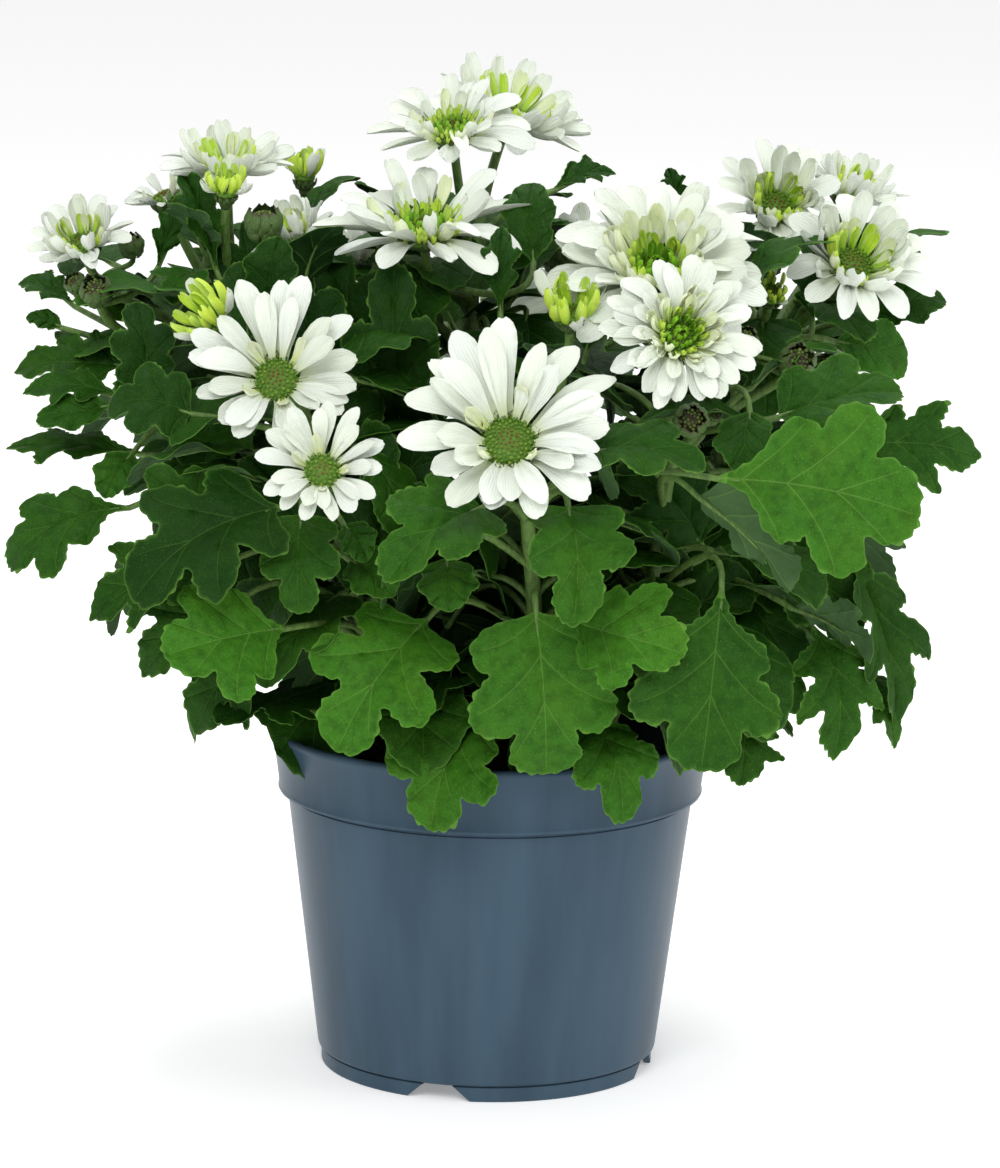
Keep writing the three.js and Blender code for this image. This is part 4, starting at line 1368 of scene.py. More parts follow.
def leaf_outline(shape, spacing, generator):
    """The closed outline of a flat leaf one unit long, with rounded teeth, from its base round by the tip."""
    half = smoothed(smoothed(LEAF_OUTLINES[shape])) * (LEAF_ASPECT, 1)
    sides = []
    for sign in (1, -1):
        side, run = evenly_spaced(half, spacing)
        across = np.gradient(side, axis=0)
        outwards = np.stack([across[:, 1], -across[:, 0]], 1)
        outwards /= np.maximum(np.linalg.norm(outwards, axis=1), 1e-9)[:, None]
        place = run / TOOTH_LENGTH + 0.4 * np.sin(run * 8 + generator.uniform(0, 2 * math.pi)) + 1
        sizes = np.array([generator.uniform(0.35, 1.3) for _ in range(int(place.max()) + 2)])
        share = place % 1
        tooth = np.minimum(share / 0.65, (1 - share) / 0.35) ** 0.75
        teeth = TOOTH_DEPTH * sizes[place.astype(int)] * (tooth - 0.3)
        fade = np.clip(side[:, 1] / 0.12, 0, 1) * np.clip((run[-1] - run) / 0.04, 0, 1)
        side += outwards * (teeth * fade)[:, None]
        side *= (generator.uniform(0.92, 1.06), 1)
        side[:, 1] += generator.uniform(-0.03, 0.03) * np.sin(math.pi * side[:, 1])
        side[:, 0] = np.maximum(side[:, 0], 0.008)
        side[0, 1] = 0
        side[-1] = (0, 1)
        sides.append(side * (sign, 1))
    return np.vstack([sides[0], sides[1][-2::-1]])


def vein_lines(shape):
    """The midrib and the side veins of a flat leaf, as lines of points with their width."""
    midrib = np.stack([np.zeros(12), np.linspace(0.0, 0.94, 12)], 1)
    lines = [(midrib, 1.0)]
    share = np.linspace(0, 1, 7)
    for start, end in LEAF_VEINS[shape]:
        across, straight_end = bowed(end)
        x = share * across
        y = start[1] + share * (straight_end - start[1]) - VEIN_BOW * x ** 2
        lines += [(np.stack([sign * x, y], 1), 0.7) for sign in (1, -1)]
    return lines


def distance_to_lines(points, lines):
    """How far each point is from the nearest line, in that line's own widths."""
    nearest = np.full(len(points), 1e9)
    for line, width in lines:
        for start, end in zip(line[:-1], line[1:]):
            run = end - start
            share = np.clip((points - start) @ run / (run @ run), 0, 1)
            gap = np.linalg.norm(points - (start + share[:, None] * run), axis=1)
            nearest = np.minimum(nearest, gap / width)
    return nearest


class FlatLeaf(NamedTuple):
    """A flat leaf one unit long: its points, triangles, rim and each point's distance to a vein."""

    points: np.ndarray
    faces: np.ndarray
    rim: np.ndarray
    vein: np.ndarray


@lru_cache
def flat_leaf(shape, fine, seed):
    """A flat leaf cut into triangles between its outline and its veins."""
    generator = random.Random(seed)
    cell = FINE_CELL if fine else COARSE_CELL
    outline = leaf_outline(shape, FINE_SPACING if fine else COARSE_SPACING, generator)
    lines = vein_lines(shape)
    points = [Vector(point) for point in outline]
    edges = []
    for line, _ in lines:
        first = len(points)
        points += [Vector(point) for point in line[1:]]
        edges += [(first + i, first + i + 1) for i in range(len(points) - first - 1)]
    fixed = np.array([tuple(point) for point in points])
    rows = int(1 / cell)
    for row in range(1, rows):
        shift = (row % 2) * 0.5
        for column in range(-rows, rows):
            spot = np.array([(column + shift) * cell * 1.1, row * cell])
            spot += [generator.uniform(-0.1, 0.1) * cell, generator.uniform(-0.1, 0.1) * cell]
            if np.min(np.linalg.norm(fixed - spot, axis=1)) > 0.5 * cell:
                points.append(Vector(spot))
    loop = list(range(len(outline)))
    made, _, triangles, sources, _, _ = delaunay_2d_cdt(points, edges, [loop], 1, 1e-5)
    made = np.array([tuple(point) for point in made])
    rim = np.array([any(source < len(outline) for source in group) for group in sources])
    used = np.unique(np.array(triangles))
    renumbered = np.zeros(len(made), int)
    renumbered[used] = np.arange(len(used))
    faces = renumbered[np.array(triangles)]
    made, rim = made[used], rim[used]
    return FlatLeaf(made, faces, rim, distance_to_lines(made, lines))


def leaf_matrix(leaf):
    """From the leaf's own frame, where +Y runs to the tip and +Z is its upper face."""
    base, tip = metres(leaf.base), metres(leaf.tip)
    along = (tip - base).normalized()
    side = along.cross(Vector(leaf.facing)).normalized()
    up = side.cross(along)
    return Matrix.Translation(base) @ Matrix((side, along, up)).transposed().to_4x4()


def blade_mesh(leaf, flat, seed):
    """A leaf's blade, bent from its flat shape: arched, folded, wavy at its edge and puckered."""
    generator = random.Random(seed)
    length = (metres(leaf.tip) - metres(leaf.base)).length
    half_width = leaf.width / 2 * MM
    x = flat.points[:, 0] / LEAF_ASPECT * half_width
    share = np.abs(flat.points[:, 0]) / LEAF_ASPECT
    v = flat.points[:, 1]
    phase = generator.uniform(0, 2 * math.pi)
    wave = generator.uniform(0.02, 0.045) * length
    lift = 4 * leaf.arch * MM * v * (1 - v) + FOLD_SHARE * leaf.fold * np.abs(x)
    lift += wave * share ** 1.5 * np.sin(v * 13 + phase + np.sign(x) * 1.3)
    lift -= generator.uniform(0.03, 0.14) * length * share ** 2
    lift -= generator.uniform(0.0, 0.16) * length * np.maximum(v - 0.55, 0) ** 2 / 0.2
    spread = np.minimum(flat.vein / 0.09, 1)
    lift += PUCKER * MM * (1 - (1 - spread) ** 2)
    twist = generator.uniform(-0.22, 0.22) * (v - 0.3)
    bend = generator.uniform(-0.08, 0.08) * length * np.sin(np.pi * v)
    points = np.stack([x * np.cos(twist) + bend, v * length, lift + x * np.sin(twist)], 1)
    uvs = np.stack([(flat.points[:, 0] / LEAF_ASPECT + 1) / 2, v], 1)
    sheet = Sheet(points, flat.faces, flat.rim, uvs)
    mesh = closed_mesh("blade", sheet, LEAF_THICKNESS * MM, LEAF_RIM_SHARE, {"edge": flat.rim.astype(float)})
    # The tone, which is partly painted light and shade, goes on every point of the blade.
    set_mark(mesh, "tone", leaf.tone)
    mesh.transform(leaf_matrix(leaf))
    return mesh


def stalk_start(cutting, end, anywhere):
    """Where the stalk to an end leaves its cutting, below the end; anywhere also takes the branches."""
    path, branches = cutting_paths(cutting)
    points = np.vstack([path, *branches]) if anywhere else path
    heights = points[:, 2]
    below = points[(heights < end[2] - PETIOLE_RISE * MM) & (heights > SOIL_CENTRE_HEIGHT * MM)]
    return below[np.argmin(np.linalg.norm(below - end, axis=1))]


def stalk_line(leaf, anywhere):
    """A leaf's stalk from its cutting to its blade, and on under the midrib, with its radii."""
    place = leaf_matrix(leaf)
    start = place.inverted() @ Vector(stalk_start(leaf.cutting, np.array(leaf.base) * MM, anywhere))
    bend = Vector((0, -0.5 * start.length, 0))
    stalk = bezier([start, bend, (0, 0, 0)], STALK_STEPS)
    length = (metres(leaf.tip) - metres(leaf.base)).length
    rib = [(0, v * length, (4 * leaf.arch * v * (1 - v) - RIB_SINK) * MM) for v in RIB_PLACES]
    line = [place @ Vector(point) for point in [*stalk, *rib]]
    thick = np.concatenate([np.linspace(*STALK_RADII, len(stalk)), RIB_RADII]) * MM
    return line, thick


@lru_cache
def shared():
    """The finishes, the trees and the small shapes that they copy, all made when one is first needed."""
    colours = bpy.context.scene.chrysanthemum_plant
    return {
        "petal": petal_finish("white_petal", colours.petal, colours.petal_base_and_shade, 0.36),
        "cream": petal_finish("cream_petal", colours.cream, colours.cream_base, 0.55),
        "young": petal_finish("young_petal", colours.young, colours.young_base, 0.7, 5),
        "green": petal_finish("green_petal", colours.quill, colours.quill_base, 0.6, 5),
        "disc": disc_finish("disc_florets", colours.disc, colours.disc_middle),
        "bud": disc_finish("bud_florets", colours.bract, colours.bud_middle),
        "leaves": {shape: leaf_finish(shape, colours) for shape in LEAF_OUTLINES},
        "stem": stem_finish(colours.stem),
        "bract": bract_finish(colours.bract, colours.bract_edge),
        "whorl": whorl_tree(),
        "florets": floret_tree(),
        "stalk": tube_tree(),
        "petals": petal_collections(),
        "floret": floret_collection(),
    }


def stalks(lines, sides=8):
    """Ridged stalks along lines, each of which is its points and their radii."""
    values = {"Sides": sides, "Ridges": RIDGE_DEPTH, "Finish": shared()["stem"]}
    return grown(shared()["stalk"], values, line_mesh(lines))


def floret_bed(radius, dome, size, count, finish, seed):
    """Florets over a dome, in the finish of a disc or of a bud."""
    return grown(shared()["florets"], {
        "Pieces": shared()["floret"], "Count": count, "Disc radius": radius, "Dome": dome,
        "Floret size": size, "Seed": seed, "Finish": shared()[finish],
    })


def whorl(kind, finish, seed, **sizes):
    """A ring of petals or bracts of one kind; the sizes are inputs of the whorl tree."""
    values = {"Pieces": shared()["petals"][kind], "Finish": shared()[finish], "Seed": seed}
    values.update({name.replace("_", " "): value for name, value in sizes.items()})
    return grown(shared()["whorl"], values)


def facing_matrix(centre, facing):
    """From a head's own frame, where +Z is the way it faces."""
    turn = Vector((0, 0, 1)).rotation_difference(Vector(facing).normalized())
    return Matrix.Translation(metres(centre)) @ turn.to_matrix().to_4x4()


def calyx_meshes(radius, seed):
    """The green cup behind a head, with two whorls of bracts."""
    size = radius / 8
    cup = turned_mesh("calyx", [
        (1.3, -6.4), (1.8, -5.6), (4.6 * size, -4.2), (6.6 * size, -2.2), (7.0 * size, -0.8),
        (3.0 * size, -0.2),
    ], 16, MM)
    cup.materials.append(shared()["bract"])
    rows = [
        whorl(
            "bract", "bract", seed + row, Count=11, Ring_radius=(3.2 + 1.5 * row) * size * MM,
            Height=(-4.6 + 1.2 * row) * MM, Length=6.4 * size * MM, Width=3.1 * size * MM,
            Rise=math.radians(38), Turn=0.28 * row, Unevenness=0.6,
        )
        for row in (0, 1)
    ]
    return [cup, *rows]


def disc_meshes(head, seed):
    """The domed bed of disc florets."""
    radius = head.disc * MM
    dome = radius * 0.28
    bed = turned_mesh("disc", [
        (radius * 0.9, -1.5 * MM),
        (radius, 0),
        (radius * 0.72, dome * 0.48),
        (radius * 0.4, dome * 0.8),
        (radius * 0.1, dome),
    ], 20)
    bed.materials.append(shared()["disc"])
    set_mark(bed, "ring", 0.8)
    set_mark(bed, "tone", 0.1)
    count = round(FLORETS_PER_SQUARE * head.disc ** 2)
    return [bed, floret_bed(radius * 0.97, dome, FLORET_SIZE * MM, count, "disc", seed)]


def head_meshes(head, seed):
    """A flower head in place: calyx, disc and every whorl of its style."""
    place = facing_matrix(head.centre, head.facing)
    down = place.to_3x3().inverted() @ Vector((0, 0, -1))
    meshes = [*calyx_meshes(head.disc, seed), *disc_meshes(head, seed)]
    for number, layer in enumerate(STYLES[head.style]):
        ring = layer.ring * head.disc * MM
        length = layer.length * head.reach * MM - (ring if layer.length > 0.5 else 0)
        meshes.append(whorl(
            layer.kind, layer.finish, 31 * seed + number,
            Count=max(3, round(layer.count * head.petals)),
            Ring_radius=ring,
            Height=(WHORL_STEP * number - 0.4) * MM,
            Length=length,
            Width=layer.width * length,
            Rise=math.radians(head.rise * layer.rise + layer.extra_rise),
            Turn=0.8 * number + seed,
            Down=down,
            Sag=RAY_SAG if layer.kind == "ray" else 0.0,
            Lopsided=LOPSIDED[head.style],
        ))
    for mesh in meshes:
        mesh.transform(place)
    return meshes


def bud_meshes(bud, seed):
    """A closed bud in place: a dark tip in three whorls of overlapping scales."""
    radius = 0.85 * bud.radius * MM
    core = turned_mesh("bud", [(0.25, -0.95), (0.75, -0.6), (0.88, 0), (0.7, 0.5), (0.35, 0.72)], 14, radius)
    core.materials.append(shared()["bud"])
    set_mark(core, "ring", 0.0)
    set_mark(core, "tone", 0.0)
    tips = floret_bed(radius * 0.62, radius * 0.2, 0.16 * radius, 26, "bud", seed)
    tips.transform(Matrix.Translation((0, 0, 0.5 * radius)))
    rows = [
        whorl(
            "bract", "bract", seed + row, Count=9, Ring_radius=(0.5 + 0.17 * row) * radius,
            Height=(-0.9 + 0.3 * row) * radius, Length=(1.05 + 0.12 * row) * radius, Width=0.72 * radius,
            Rise=math.radians(50 + 14 * row), Turn=0.35 * row, Unevenness=0.5,
        )
        for row in (0, 1, 2)
    ]
    meshes = [core, tips, *rows]
    for mesh in meshes:
        mesh.transform(facing_matrix(bud.centre, bud.facing))
    return meshes


def leaf_meshes(leaf, seed, fine=True, anywhere=False):
    """A leaf in place: its blade and its stalk."""
    blade = blade_mesh(leaf, flat_leaf(leaf.shape, fine, seed % 3), seed)
    blade.materials.append(shared()["leaves"][leaf.shape])
    return [blade, stalks([stalk_line(leaf, anywhere)])]


def inner_leaves(cutting, generator):
    """Leaves at the golden angle up a cutting's main stem and its branches: low ones droop outwards."""
    path, branches = cutting_paths(cutting)
    roots = [path[step] for step in range(LOWEST_LEAF_POINT, PATH_POINTS)]
    roots += [branch[step] for branch in branches for step in BRANCH_LEAF_POINTS]
    made = []
    for number, root in enumerate(np.array(roots) / MM):
        turn = number * LEAF_TURN + generator.uniform(-0.3, 0.3)
        level = min(1, max(0, (root[2] - INNER_LEAF_LOW) / INNER_LEAF_SPAN))
        low_droop, high_droop = generator.uniform(*LOW_DROOP), generator.uniform(*HIGH_DROOP)
        droop = math.radians(low_droop * (1 - level) + high_droop * level)
        outwards = Vector((math.cos(turn), math.sin(turn), 0))
        along = outwards * math.cos(droop) - Vector((0, 0, math.sin(droop)))
        facing = outwards * math.sin(droop) + Vector((0, 0, math.cos(droop)))
        reach = generator.uniform(*INNER_LEAF_LENGTH) - SHORTER_WHEN_HIGH * level
        stalk = outwards * generator.uniform(*INNER_STALK_REACH) + Vector((0, 0, INNER_STALK_LIFT))
        base = Vector(root) + stalk
        tip = base + along * reach
        low, high = INNER_LEAF_ROOM
        if not all(least <= place <= most for least, place, most in zip(low, tip, high)):
            continue
        # The last value is the tone, painted shade: the green is darker the nearer a tip lies to the plant's
        # middle, with a random spread.
        made.append(Leaf(
            cutting, tuple(base), tuple(tip), tuple(facing), reach * generator.uniform(0.8, 1.0),
            reach * 0.12, generator.uniform(0.08, 0.25), generator.choice(["rounded", "lobed", "small"]),
            generator.uniform(0.0, 0.3) + 0.3 * Vector(tip[:2]).length / 140,
        ))
    return made


def pot_profile(sizes):
    """The section of the pot's shell in millimetres, from the middle of its base round to it again."""
    rim, height, band_bottom, wall = (
        size / MM for size in (sizes.rim_radius, sizes.height, sizes.band_bottom, sizes.wall)
    )
    band_low, lip_in = rim - 2.8, rim - 2.6
    body_top, body_low = rim - BAND_STEP, rim - FOOT_STEP
    foot = body_low - 1.0
    foot_height = FOOT_HEIGHT
    groove = 0.6
    return [
        (BASE_MIDDLE, foot_height), (foot - 2.6, foot_height), (foot - 2.3, 0.5), (foot - 1.9, 0),
        (foot - 0.4, 0), (foot, 0.4), (foot, foot_height - 0.4), (foot - groove, foot_height - 0.2),
        (foot - groove, foot_height + 0.3), (body_low - 0.4, foot_height + 0.4),
        (body_low, foot_height + 0.8), (body_low + 0.2, foot_height + 1.6),
        (body_top - 0.2, band_bottom - 1.4), (body_top - groove, band_bottom - 1.1),
        (body_top - groove, band_bottom - 0.1), (band_low - 0.9, band_bottom),
        (band_low + 0.1, band_bottom + 0.3), (band_low + 0.35, band_bottom + 0.8),
        (band_low + 0.3, band_bottom + 1.4), (band_low, band_bottom + 2.0), (rim - 0.5, height - 2.6),
        (rim - 0.1, height - 2.2), (rim, height - 1.2), (rim - 0.3, height - 0.4), (rim - 1.0, height),
        (rim - 2.0, height), (lip_in, height - 0.4), (lip_in - 0.2, height - 1.1),
        (lip_in - 1.6, height - 1.3), (lip_in - 1.8, height - 2), (band_low - 1.8, band_bottom + wall + 0.6),
        (band_low - 2.2, band_bottom + wall), (body_top - wall, band_bottom + wall),
        (body_top - wall - 0.3, band_bottom), (body_low - wall, foot_height + wall + 1),
        (body_low - wall - 1, foot_height + wall), (BASE_MIDDLE, foot_height + wall),
    ]


def turned_about_axis(number, count, first=0.0):
    """The turn to one of as many places round the pot."""
    return Matrix.Rotation(first + number * 2 * math.pi / count, 4, "Z")


def pot_cutters(sizes):
    """The drainage notches in the foot ring and the drain holes in the base, as cutting shapes."""
    rim = sizes.rim_radius / MM
    low, high, top = NOTCH_HALF_WIDTH_BELOW, NOTCH_HALF_WIDTH_ABOVE, NOTCH_HEIGHT
    outline = [(-low, -1), (low, -1), (high, top - 0.6), (high - 1, top), (1 - high, top), (-high, top - 0.6)]
    count = len(outline)
    points = [(x * MM, (inwards - rim) * MM, z * MM) for inwards in NOTCH_FROM_RIM for x, z in outline]
    sides = [(i, i + count, (i + 1) % count + count, (i + 1) % count) for i in range(count)]
    faces = [tuple(range(count)), tuple(reversed(range(count, 2 * count))), *sides]
    cutters = []
    for number in range(NOTCH_COUNT):
        mesh = bpy.data.meshes.new("notch")
        mesh.from_pydata(points, [], faces)
        mesh.transform(turned_about_axis(number, NOTCH_COUNT, FIRST_NOTCH_TURN))
        cutters.append(mesh)
    for number in range(DRAIN_HOLE_COUNT):
        hole = turned_mesh("hole", [(DRAIN_HOLE_RADIUS, 3), (DRAIN_HOLE_RADIUS, 9)], 24, MM)
        centre = turned_about_axis(number + 0.5, DRAIN_HOLE_COUNT) @ Vector((DRAIN_HOLE_CIRCLE * MM, 0, 0))
        hole.transform(Matrix.Translation(centre))
        cutters.append(hole)
    return piece_from("pot_cutters", cutters)


def applied(piece):
    """The piece with its modifiers turned into its plain mesh."""
    depsgraph = bpy.context.evaluated_depsgraph_get()
    mesh = bpy.data.meshes.new_from_object(piece.evaluated_get(depsgraph))
    if not mesh.polygons:
        raise RuntimeError(f"Nothing is left of {piece.name}")
    piece.modifiers.clear()
    piece.data = mesh
    return piece


def colour_setting(name, description, *screen):
    return bpy.props.FloatVectorProperty(
        name=name, description=description, subtype="COLOR", size=4, default=linear(*screen))


def setting(name, description, default, **kind):
    return bpy.props.FloatProperty(name=name, description=description, default=default, **kind)


class PotProperties(bpy.types.PropertyGroup):
    """Sizes and finish of the grow pot and its soil."""

    height: setting("Height", "Height of the pot", 0.110, unit="LENGTH")
    rim_radius: setting("Rim radius", "Outer radius of the rim", 0.070, unit="LENGTH")
    band_bottom: setting("Band bottom", "Height where the rim band starts", 0.089, unit="LENGTH")
    wall: setting("Wall", "Thickness of the wall", 0.0014, unit="LENGTH")
    plastic: colour_setting("Plastic", "Colour of the plastic", 56, 76, 91)
    peat: colour_setting("Peat", "Colour of the soil", 64, 46, 34)
    crumb_density: setting("Crumb density", "Crumbs on a square metre of soil", 90000)


class PlantProperties(bpy.types.PropertyGroup):
    """Colours of the plant and thickness of its stems."""

    stem_radius: setting("Stem radius", "Radius of a main stem at the soil", 0.0031, unit="LENGTH")
    branch_radius: setting("Branch radius", "Radius of a flowering branch", 0.0015, unit="LENGTH")
    petal: colour_setting("Petal", "White of the petals", 228, 234, 225)
    # The petal base is a real green cream that also stands in for painted shade at the petals' foot.
    petal_base_and_shade: colour_setting("Petal base", "Green cream at the foot of a petal", 208, 222, 166)
    cream: colour_setting("Inner petal", "Cream of the inner petals", 232, 238, 206)
    quill: colour_setting("Quill", "Yellow green of young petals", 204, 232, 72)
    quill_base: colour_setting("Quill base", "Green at the foot of young petals", 116, 180, 32)
    disc: colour_setting("Disc", "Green of the disc florets", 76, 120, 24)
    disc_middle: colour_setting("Disc middle", "Rust brown of the disc's middle", 112, 72, 26)
    bud_middle: colour_setting("Bud middle", "Dark brown in the middle of a bud", 48, 32, 18)
    young: colour_setting("Young petal", "Green of the innermost petals", 138, 198, 40)
    young_base: colour_setting("Young petal base", "Green at the foot of the innermost petals", 72, 142, 20)
    cream_base: colour_setting("Inner petal base", "Yellow green at the inner petals' foot", 208, 228, 104)
    # The bright and the dark leaf greens are partly painted light and shade: a leaf's tone mixes them, lit
    # leaves bright and shaded ones dark.
    lit_leaf_green: colour_setting("Bright leaf", "Green of the outer leaves", 58, 114, 24)
    dark_and_shaded_leaf_green: colour_setting("Dark leaf", "Green of the inner leaves", 10, 44, 3)
    leaf_yellow: colour_setting("Leaf patches", "Yellow green of a leaf's lit patches", 80, 112, 14)
    leaf_under: colour_setting("Leaf underside", "Grey green of the underside", 70, 100, 60)
    vein: colour_setting("Vein", "Pale green of the veins", 110, 156, 66)
    stem: colour_setting("Stem", "Green of the stems", 98, 132, 60)
    bract: colour_setting("Bract", "Green of the bracts", 64, 92, 36)
    bract_edge: colour_setting("Bract edge", "Dark edge of the bracts", 62, 58, 34)


class StageProperties(bpy.types.PropertyGroup):
    """Floor, lights and camera."""

    floor: colour_setting("Floor", "Colour of the floor", 250, 250, 250)
    glow: setting("Floor glow", "Light that the floor gives off, as a lit sweep does", 0.27, min=0)
    key_power: setting("Key power", "Power of the main soft light", 19, unit="POWER")
    fill_power: setting("Fill power", "Power of the fill light", 9, unit="POWER")
    top_power: setting("Top power", "Power of the light overhead", 12, unit="POWER")
    surround: setting("Surround", "Strength of the light from all sides", 0.66, min=0)
    lens: setting("Lens", "Focal length in millimetres", 178.4, unit="CAMERA")
    pitch: setting("Pitch", "How far the camera looks down", 0.1928, subtype="ANGLE")
    yaw: setting("Yaw", "How far the camera turns right", 0.0012, subtype="ANGLE")
    roll: setting("Roll", "How far the camera tilts", 0.0153, subtype="ANGLE")


class CHRYSANTHEMUM_OT_pot(bpy.types.Operator):
    """Turn the grow pot with its rim band, foot ring, drainage notches and drain holes"""

    bl_idname = "chrysanthemum.pot"
    bl_label = "Pot"

    def execute(self, context):
        sizes = context.scene.chrysanthemum_pot
        shell = turned_mesh("pot_shell", pot_profile(sizes), POT_SEGMENTS, MM)
        pot = piece_from("grow_pot", [shell])
        cutters = pot_cutters(sizes)
        cut = pot.modifiers.new("notches", "BOOLEAN")
        cut.operation = "DIFFERENCE"
        cut.solver = "EXACT"
        cut.object = cutters
        applied(pot)
        bpy.data.objects.remove(cutters)
        pot.data.set_sharp_from_angle(angle=math.radians(42))
        pot.data.materials.clear()
        pot.data.materials.append(pot_finish(sizes.plastic))
        settle(pot, "pot_plastic", "pot")
        return {"FINISHED"}


class CHRYSANTHEMUM_OT_soil(bpy.types.Operator):
    """Heap the potting soil, with crumbs and fibres on its surface"""

    bl_idname = "chrysanthemum.soil"
    bl_label = "Soil"

    def execute(self, context):
        sizes = context.scene.chrysanthemum_pot
        low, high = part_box("potting_soil")
        generator = random.Random(3)
        edge = sizes.rim_radius - sizes.wall - (BAND_STEP + SOIL_EDGE_GAP) * MM
        middle = high.z - SOIL_MIDDLE_SINK * MM
        rim = (SOIL_EDGE_HEIGHT - SOIL_EDGE_SINK) * MM
        profile = [(edge - 9 * MM, low.z + 1 * MM), (edge - 1 * MM, rim - 6 * MM)]
        for share in np.linspace(1, 1 / SOIL_RINGS, SOIL_RINGS):
            profile.append((edge * share, rim + (middle - rim) * (1 - share ** 2)))
        bed = turned_mesh("soil_bed", profile, SOIL_SIDES)
        for vertex in bed.vertices:
            if vertex.co.z > rim - 1 * MM:
                vertex.co.z += generator.uniform(-SOIL_ROUGHNESS, SOIL_ROUGHNESS) * MM
        peat = soil_finish(sizes.peat)
        soil = grown(crumb_tree(), {
            "Pieces": crumb_collection(), "Density": sizes.crumb_density, "Crumb size": CRUMB_SIZE * MM,
            "Finish": peat,
        }, bed)
        settle(piece_from("peat", [soil]), "soil", "potting_soil")
        return {"FINISHED"}


class CHRYSANTHEMUM_OT_stems(bpy.types.Operator):
    """Grow each cutting's main stem and its flowering branches"""

    bl_idname = "chrysanthemum.stems"
    bl_label = "Stems"

    def execute(self, context):
        plant = context.scene.chrysanthemum_plant
        for name in CUTTINGS:
            path, branches = cutting_paths(name)
            lines = [(path, np.linspace(plant.stem_radius, 0.72 * plant.stem_radius, len(path)))]
            lines += [
                (branch, np.linspace(1.25 * plant.branch_radius, plant.branch_radius, len(branch)))
                for branch in branches
            ]
            settle(piece_from(f"cutting_{name}", [stalks(lines, 12)]), "stem", f"stem_{name}")
        return {"FINISHED"}


class CHRYSANTHEMUM_OT_leaves(bpy.types.Operator):
    """Bend each of the outer leaves from its flat lobed shape and join it to its stalk"""

    bl_idname = "chrysanthemum.leaves"
    bl_label = "Outer leaves"

    def execute(self, context):
        for number, (name, leaf) in enumerate(LEAVES.items()):
            settle(piece_from(f"{name}_blade", leaf_meshes(leaf, number)), "leaf", name)
        return {"FINISHED"}


class CHRYSANTHEMUM_OT_more_leaves(bpy.types.Operator):
    """Add the smaller and inner leaves of each cutting"""

    bl_idname = "chrysanthemum.more_leaves"
    bl_label = "Inner leaves"

    def execute(self, context):
        for place, cutting in enumerate(CUTTINGS):
            generator = random.Random(50 + place)
            own = [Leaf(cutting, *row) for row in MORE_LEAVES[cutting]]
            meshes = []
            for number, leaf in enumerate(own):
                meshes += leaf_meshes(leaf, 100 * place + number, leaf.width > FINE_LEAF_WIDTH, True)
            for number, leaf in enumerate(inner_leaves(cutting, generator)):
                meshes += leaf_meshes(leaf, 100 * place + 50 + number, False, True)
            settle(piece_from(f"inner_leaves_{cutting}", meshes), "leaf")
        return {"FINISHED"}


def grow_heads(heads, slot, first_seed):
    """Makes a piece of each head in place of its frame node."""
    for seed, (name, head) in enumerate(heads.items(), first_seed):
        settle(piece_from(f"{name}_head", head_meshes(head, seed)), slot, name)


class CHRYSANTHEMUM_OT_blooms(bpy.types.Operator):
    """Build the open flower heads, whorl by whorl"""

    bl_idname = "chrysanthemum.blooms"
    bl_label = "Open heads"

    def execute(self, context):
        grow_heads(BLOOMS, "white_petals", 1)
        return {"FINISHED"}


class CHRYSANTHEMUM_OT_openings(bpy.types.Operator):
    """Build the heads that are just opening"""

    bl_idname = "chrysanthemum.openings"
    bl_label = "Opening heads"

    def execute(self, context):
        grow_heads(OPENINGS, "opening_petals", 40)
        return {"FINISHED"}


class CHRYSANTHEMUM_OT_buds(bpy.types.Operator):
    """Build the closed buds"""

    bl_idname = "chrysanthemum.buds"
    bl_label = "Buds"

    def execute(self, context):
        for number, (name, bud) in enumerate(BUDS.items()):
            settle(piece_from(f"{name}_scales", bud_meshes(bud, number + 60)), "bud_green", name)
        for group, (name, buds) in enumerate(SMALL_BUDS.items()):
            meshes = []
            for number, bud in enumerate(buds):
                meshes += bud_meshes(bud, 70 + 10 * group + number)
                way = np.array(Vector(bud.facing).normalized())
                end = (np.array(bud.centre) - way * bud.radius) * MM
                start = stalk_start(bud.cutting, end, True)
                line = rising_curve(start, end, way, BUD_STALK_STEPS)
                meshes.append(stalks([(line, np.full(len(line), BUD_STALK_RADIUS * MM))]))
            settle(piece_from(name, meshes), "bud_green")
        return {"FINISHED"}


def lay_floor(stage):
    """The pale floor, which glows a little, and the even light from all sides."""
    mesh = bpy.data.meshes.new("floor")
    corners = [(x * FLOOR_REACH, y * FLOOR_REACH, 0) for x, y in ((-1, -1), (1, -1), (1, 1), (-1, 1))]
    mesh.from_pydata(corners, [], [(0, 1, 2, 3)])
    mesh.materials.append(Finish("floor").ends_in(
        Base_Color=stage.floor, Roughness=0.9, Emission_Color=WHITE, Emission_Strength=stage.glow,
    ))
    linked("studio_floor", mesh)
    world = bpy.data.worlds.new("studio")
    world.use_nodes = True
    surround = world.node_tree.nodes["Background"]
    surround.inputs["Color"].default_value = WHITE
    surround.inputs["Strength"].default_value = stage.surround
    bpy.context.scene.world = world


def set_lights(stage):
    """The soft square lights, each turned to the plant."""
    for name, (place, size) in LIGHTS.items():
        lamp = bpy.data.lights.new(name, "AREA")
        lamp.shape = "SQUARE"
        lamp.size = size
        lamp.energy = getattr(stage, f"{name}_power")
        light = linked(f"{name}_light", lamp)
        light.location = place
        light.rotation_euler = (Vector(LIT_POINT) - light.location).to_track_quat("-Z", "Y").to_euler()


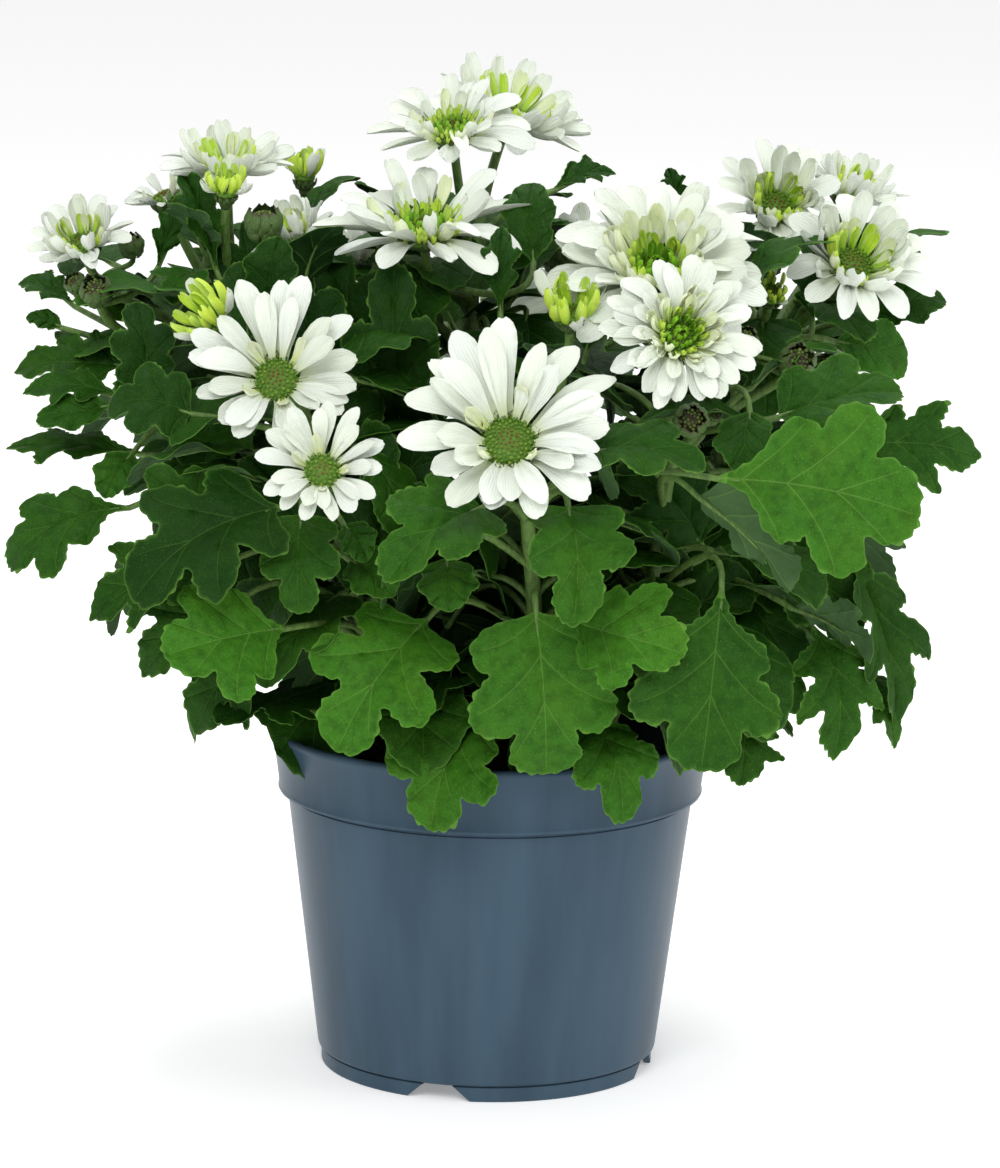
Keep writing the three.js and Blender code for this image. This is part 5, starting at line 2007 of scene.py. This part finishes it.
def place_camera(stage):
    """The camera at the angle that it looks from, rolled about its view."""
    lens = bpy.data.cameras.new("camera")
    lens.lens = stage.lens
    lens.sensor_width = 36
    lens.sensor_fit = "AUTO"
    lens.clip_start = 0.05
    lens.clip_end = 100
    camera = linked("camera", lens)
    camera.location = CAMERA_PLACE
    right = Vector((math.cos(stage.yaw), -math.sin(stage.yaw), 0))
    level = Vector((math.sin(stage.yaw), math.cos(stage.yaw), 0))
    look = level * math.cos(stage.pitch) - Vector((0, 0, math.sin(stage.pitch)))
    up = right.cross(look)
    turned_right = right * math.cos(stage.roll) + up * math.sin(stage.roll)
    turned_up = up * math.cos(stage.roll) - right * math.sin(stage.roll)
    camera.rotation_euler = Matrix((turned_right, turned_up, -look)).transposed().to_euler()
    bpy.context.scene.camera = camera


class CHRYSANTHEMUM_OT_stage(bpy.types.Operator):
    """Lay the pale floor, set the soft lights and place the camera"""

    bl_idname = "chrysanthemum.stage"
    bl_label = "Stage"

    def execute(self, context):
        stage = context.scene.chrysanthemum_stage
        lay_floor(stage)
        set_lights(stage)
        place_camera(stage)
        context.scene.view_settings.view_transform = "Standard"
        return {"FINISHED"}


class CHRYSANTHEMUM_PT_sidebar(bpy.types.Panel):
    """Lists the plant's pieces and what can be changed"""

    bl_label = "Chrysanthemum"
    bl_idname = "CHRYSANTHEMUM_PT_sidebar"
    bl_space_type = "VIEW_3D"
    bl_region_type = "UI"
    bl_category = "Chrysanthemum"

    def draw(self, context):
        for operator in OPERATORS:
            self.layout.operator(operator.bl_idname)
        for group in (getattr(context.scene, name) for name in PROPERTY_GROUPS):
            box = self.layout.box()
            for name in group.__annotations__:
                box.prop(group, name)


OPERATORS = (
    CHRYSANTHEMUM_OT_stage,
    CHRYSANTHEMUM_OT_pot,
    CHRYSANTHEMUM_OT_soil,
    CHRYSANTHEMUM_OT_stems,
    CHRYSANTHEMUM_OT_leaves,
    CHRYSANTHEMUM_OT_more_leaves,
    CHRYSANTHEMUM_OT_blooms,
    CHRYSANTHEMUM_OT_openings,
    CHRYSANTHEMUM_OT_buds,
)
PROPERTY_GROUPS = {
    "chrysanthemum_pot": PotProperties,
    "chrysanthemum_plant": PlantProperties,
    "chrysanthemum_stage": StageProperties,
}


def register():
    for group in PROPERTY_GROUPS.values():
        bpy.utils.register_class(group)
    for name, group in PROPERTY_GROUPS.items():
        setattr(bpy.types.Scene, name, bpy.props.PointerProperty(type=group))
    for operator in OPERATORS:
        bpy.utils.register_class(operator)
    bpy.utils.register_class(CHRYSANTHEMUM_PT_sidebar)


def unregister():
    bpy.utils.unregister_class(CHRYSANTHEMUM_PT_sidebar)
    for operator in reversed(OPERATORS):
        bpy.utils.unregister_class(operator)
    for name in PROPERTY_GROUPS:
        delattr(bpy.types.Scene, name)
    for group in reversed(PROPERTY_GROUPS.values()):
        bpy.utils.unregister_class(group)


def main():
    """Builds everything."""
    register()
    for operator in OPERATORS:
        group, name = operator.bl_idname.split(".")
        getattr(getattr(bpy.ops, group), name)()


if __name__ == "__main__":
    main()
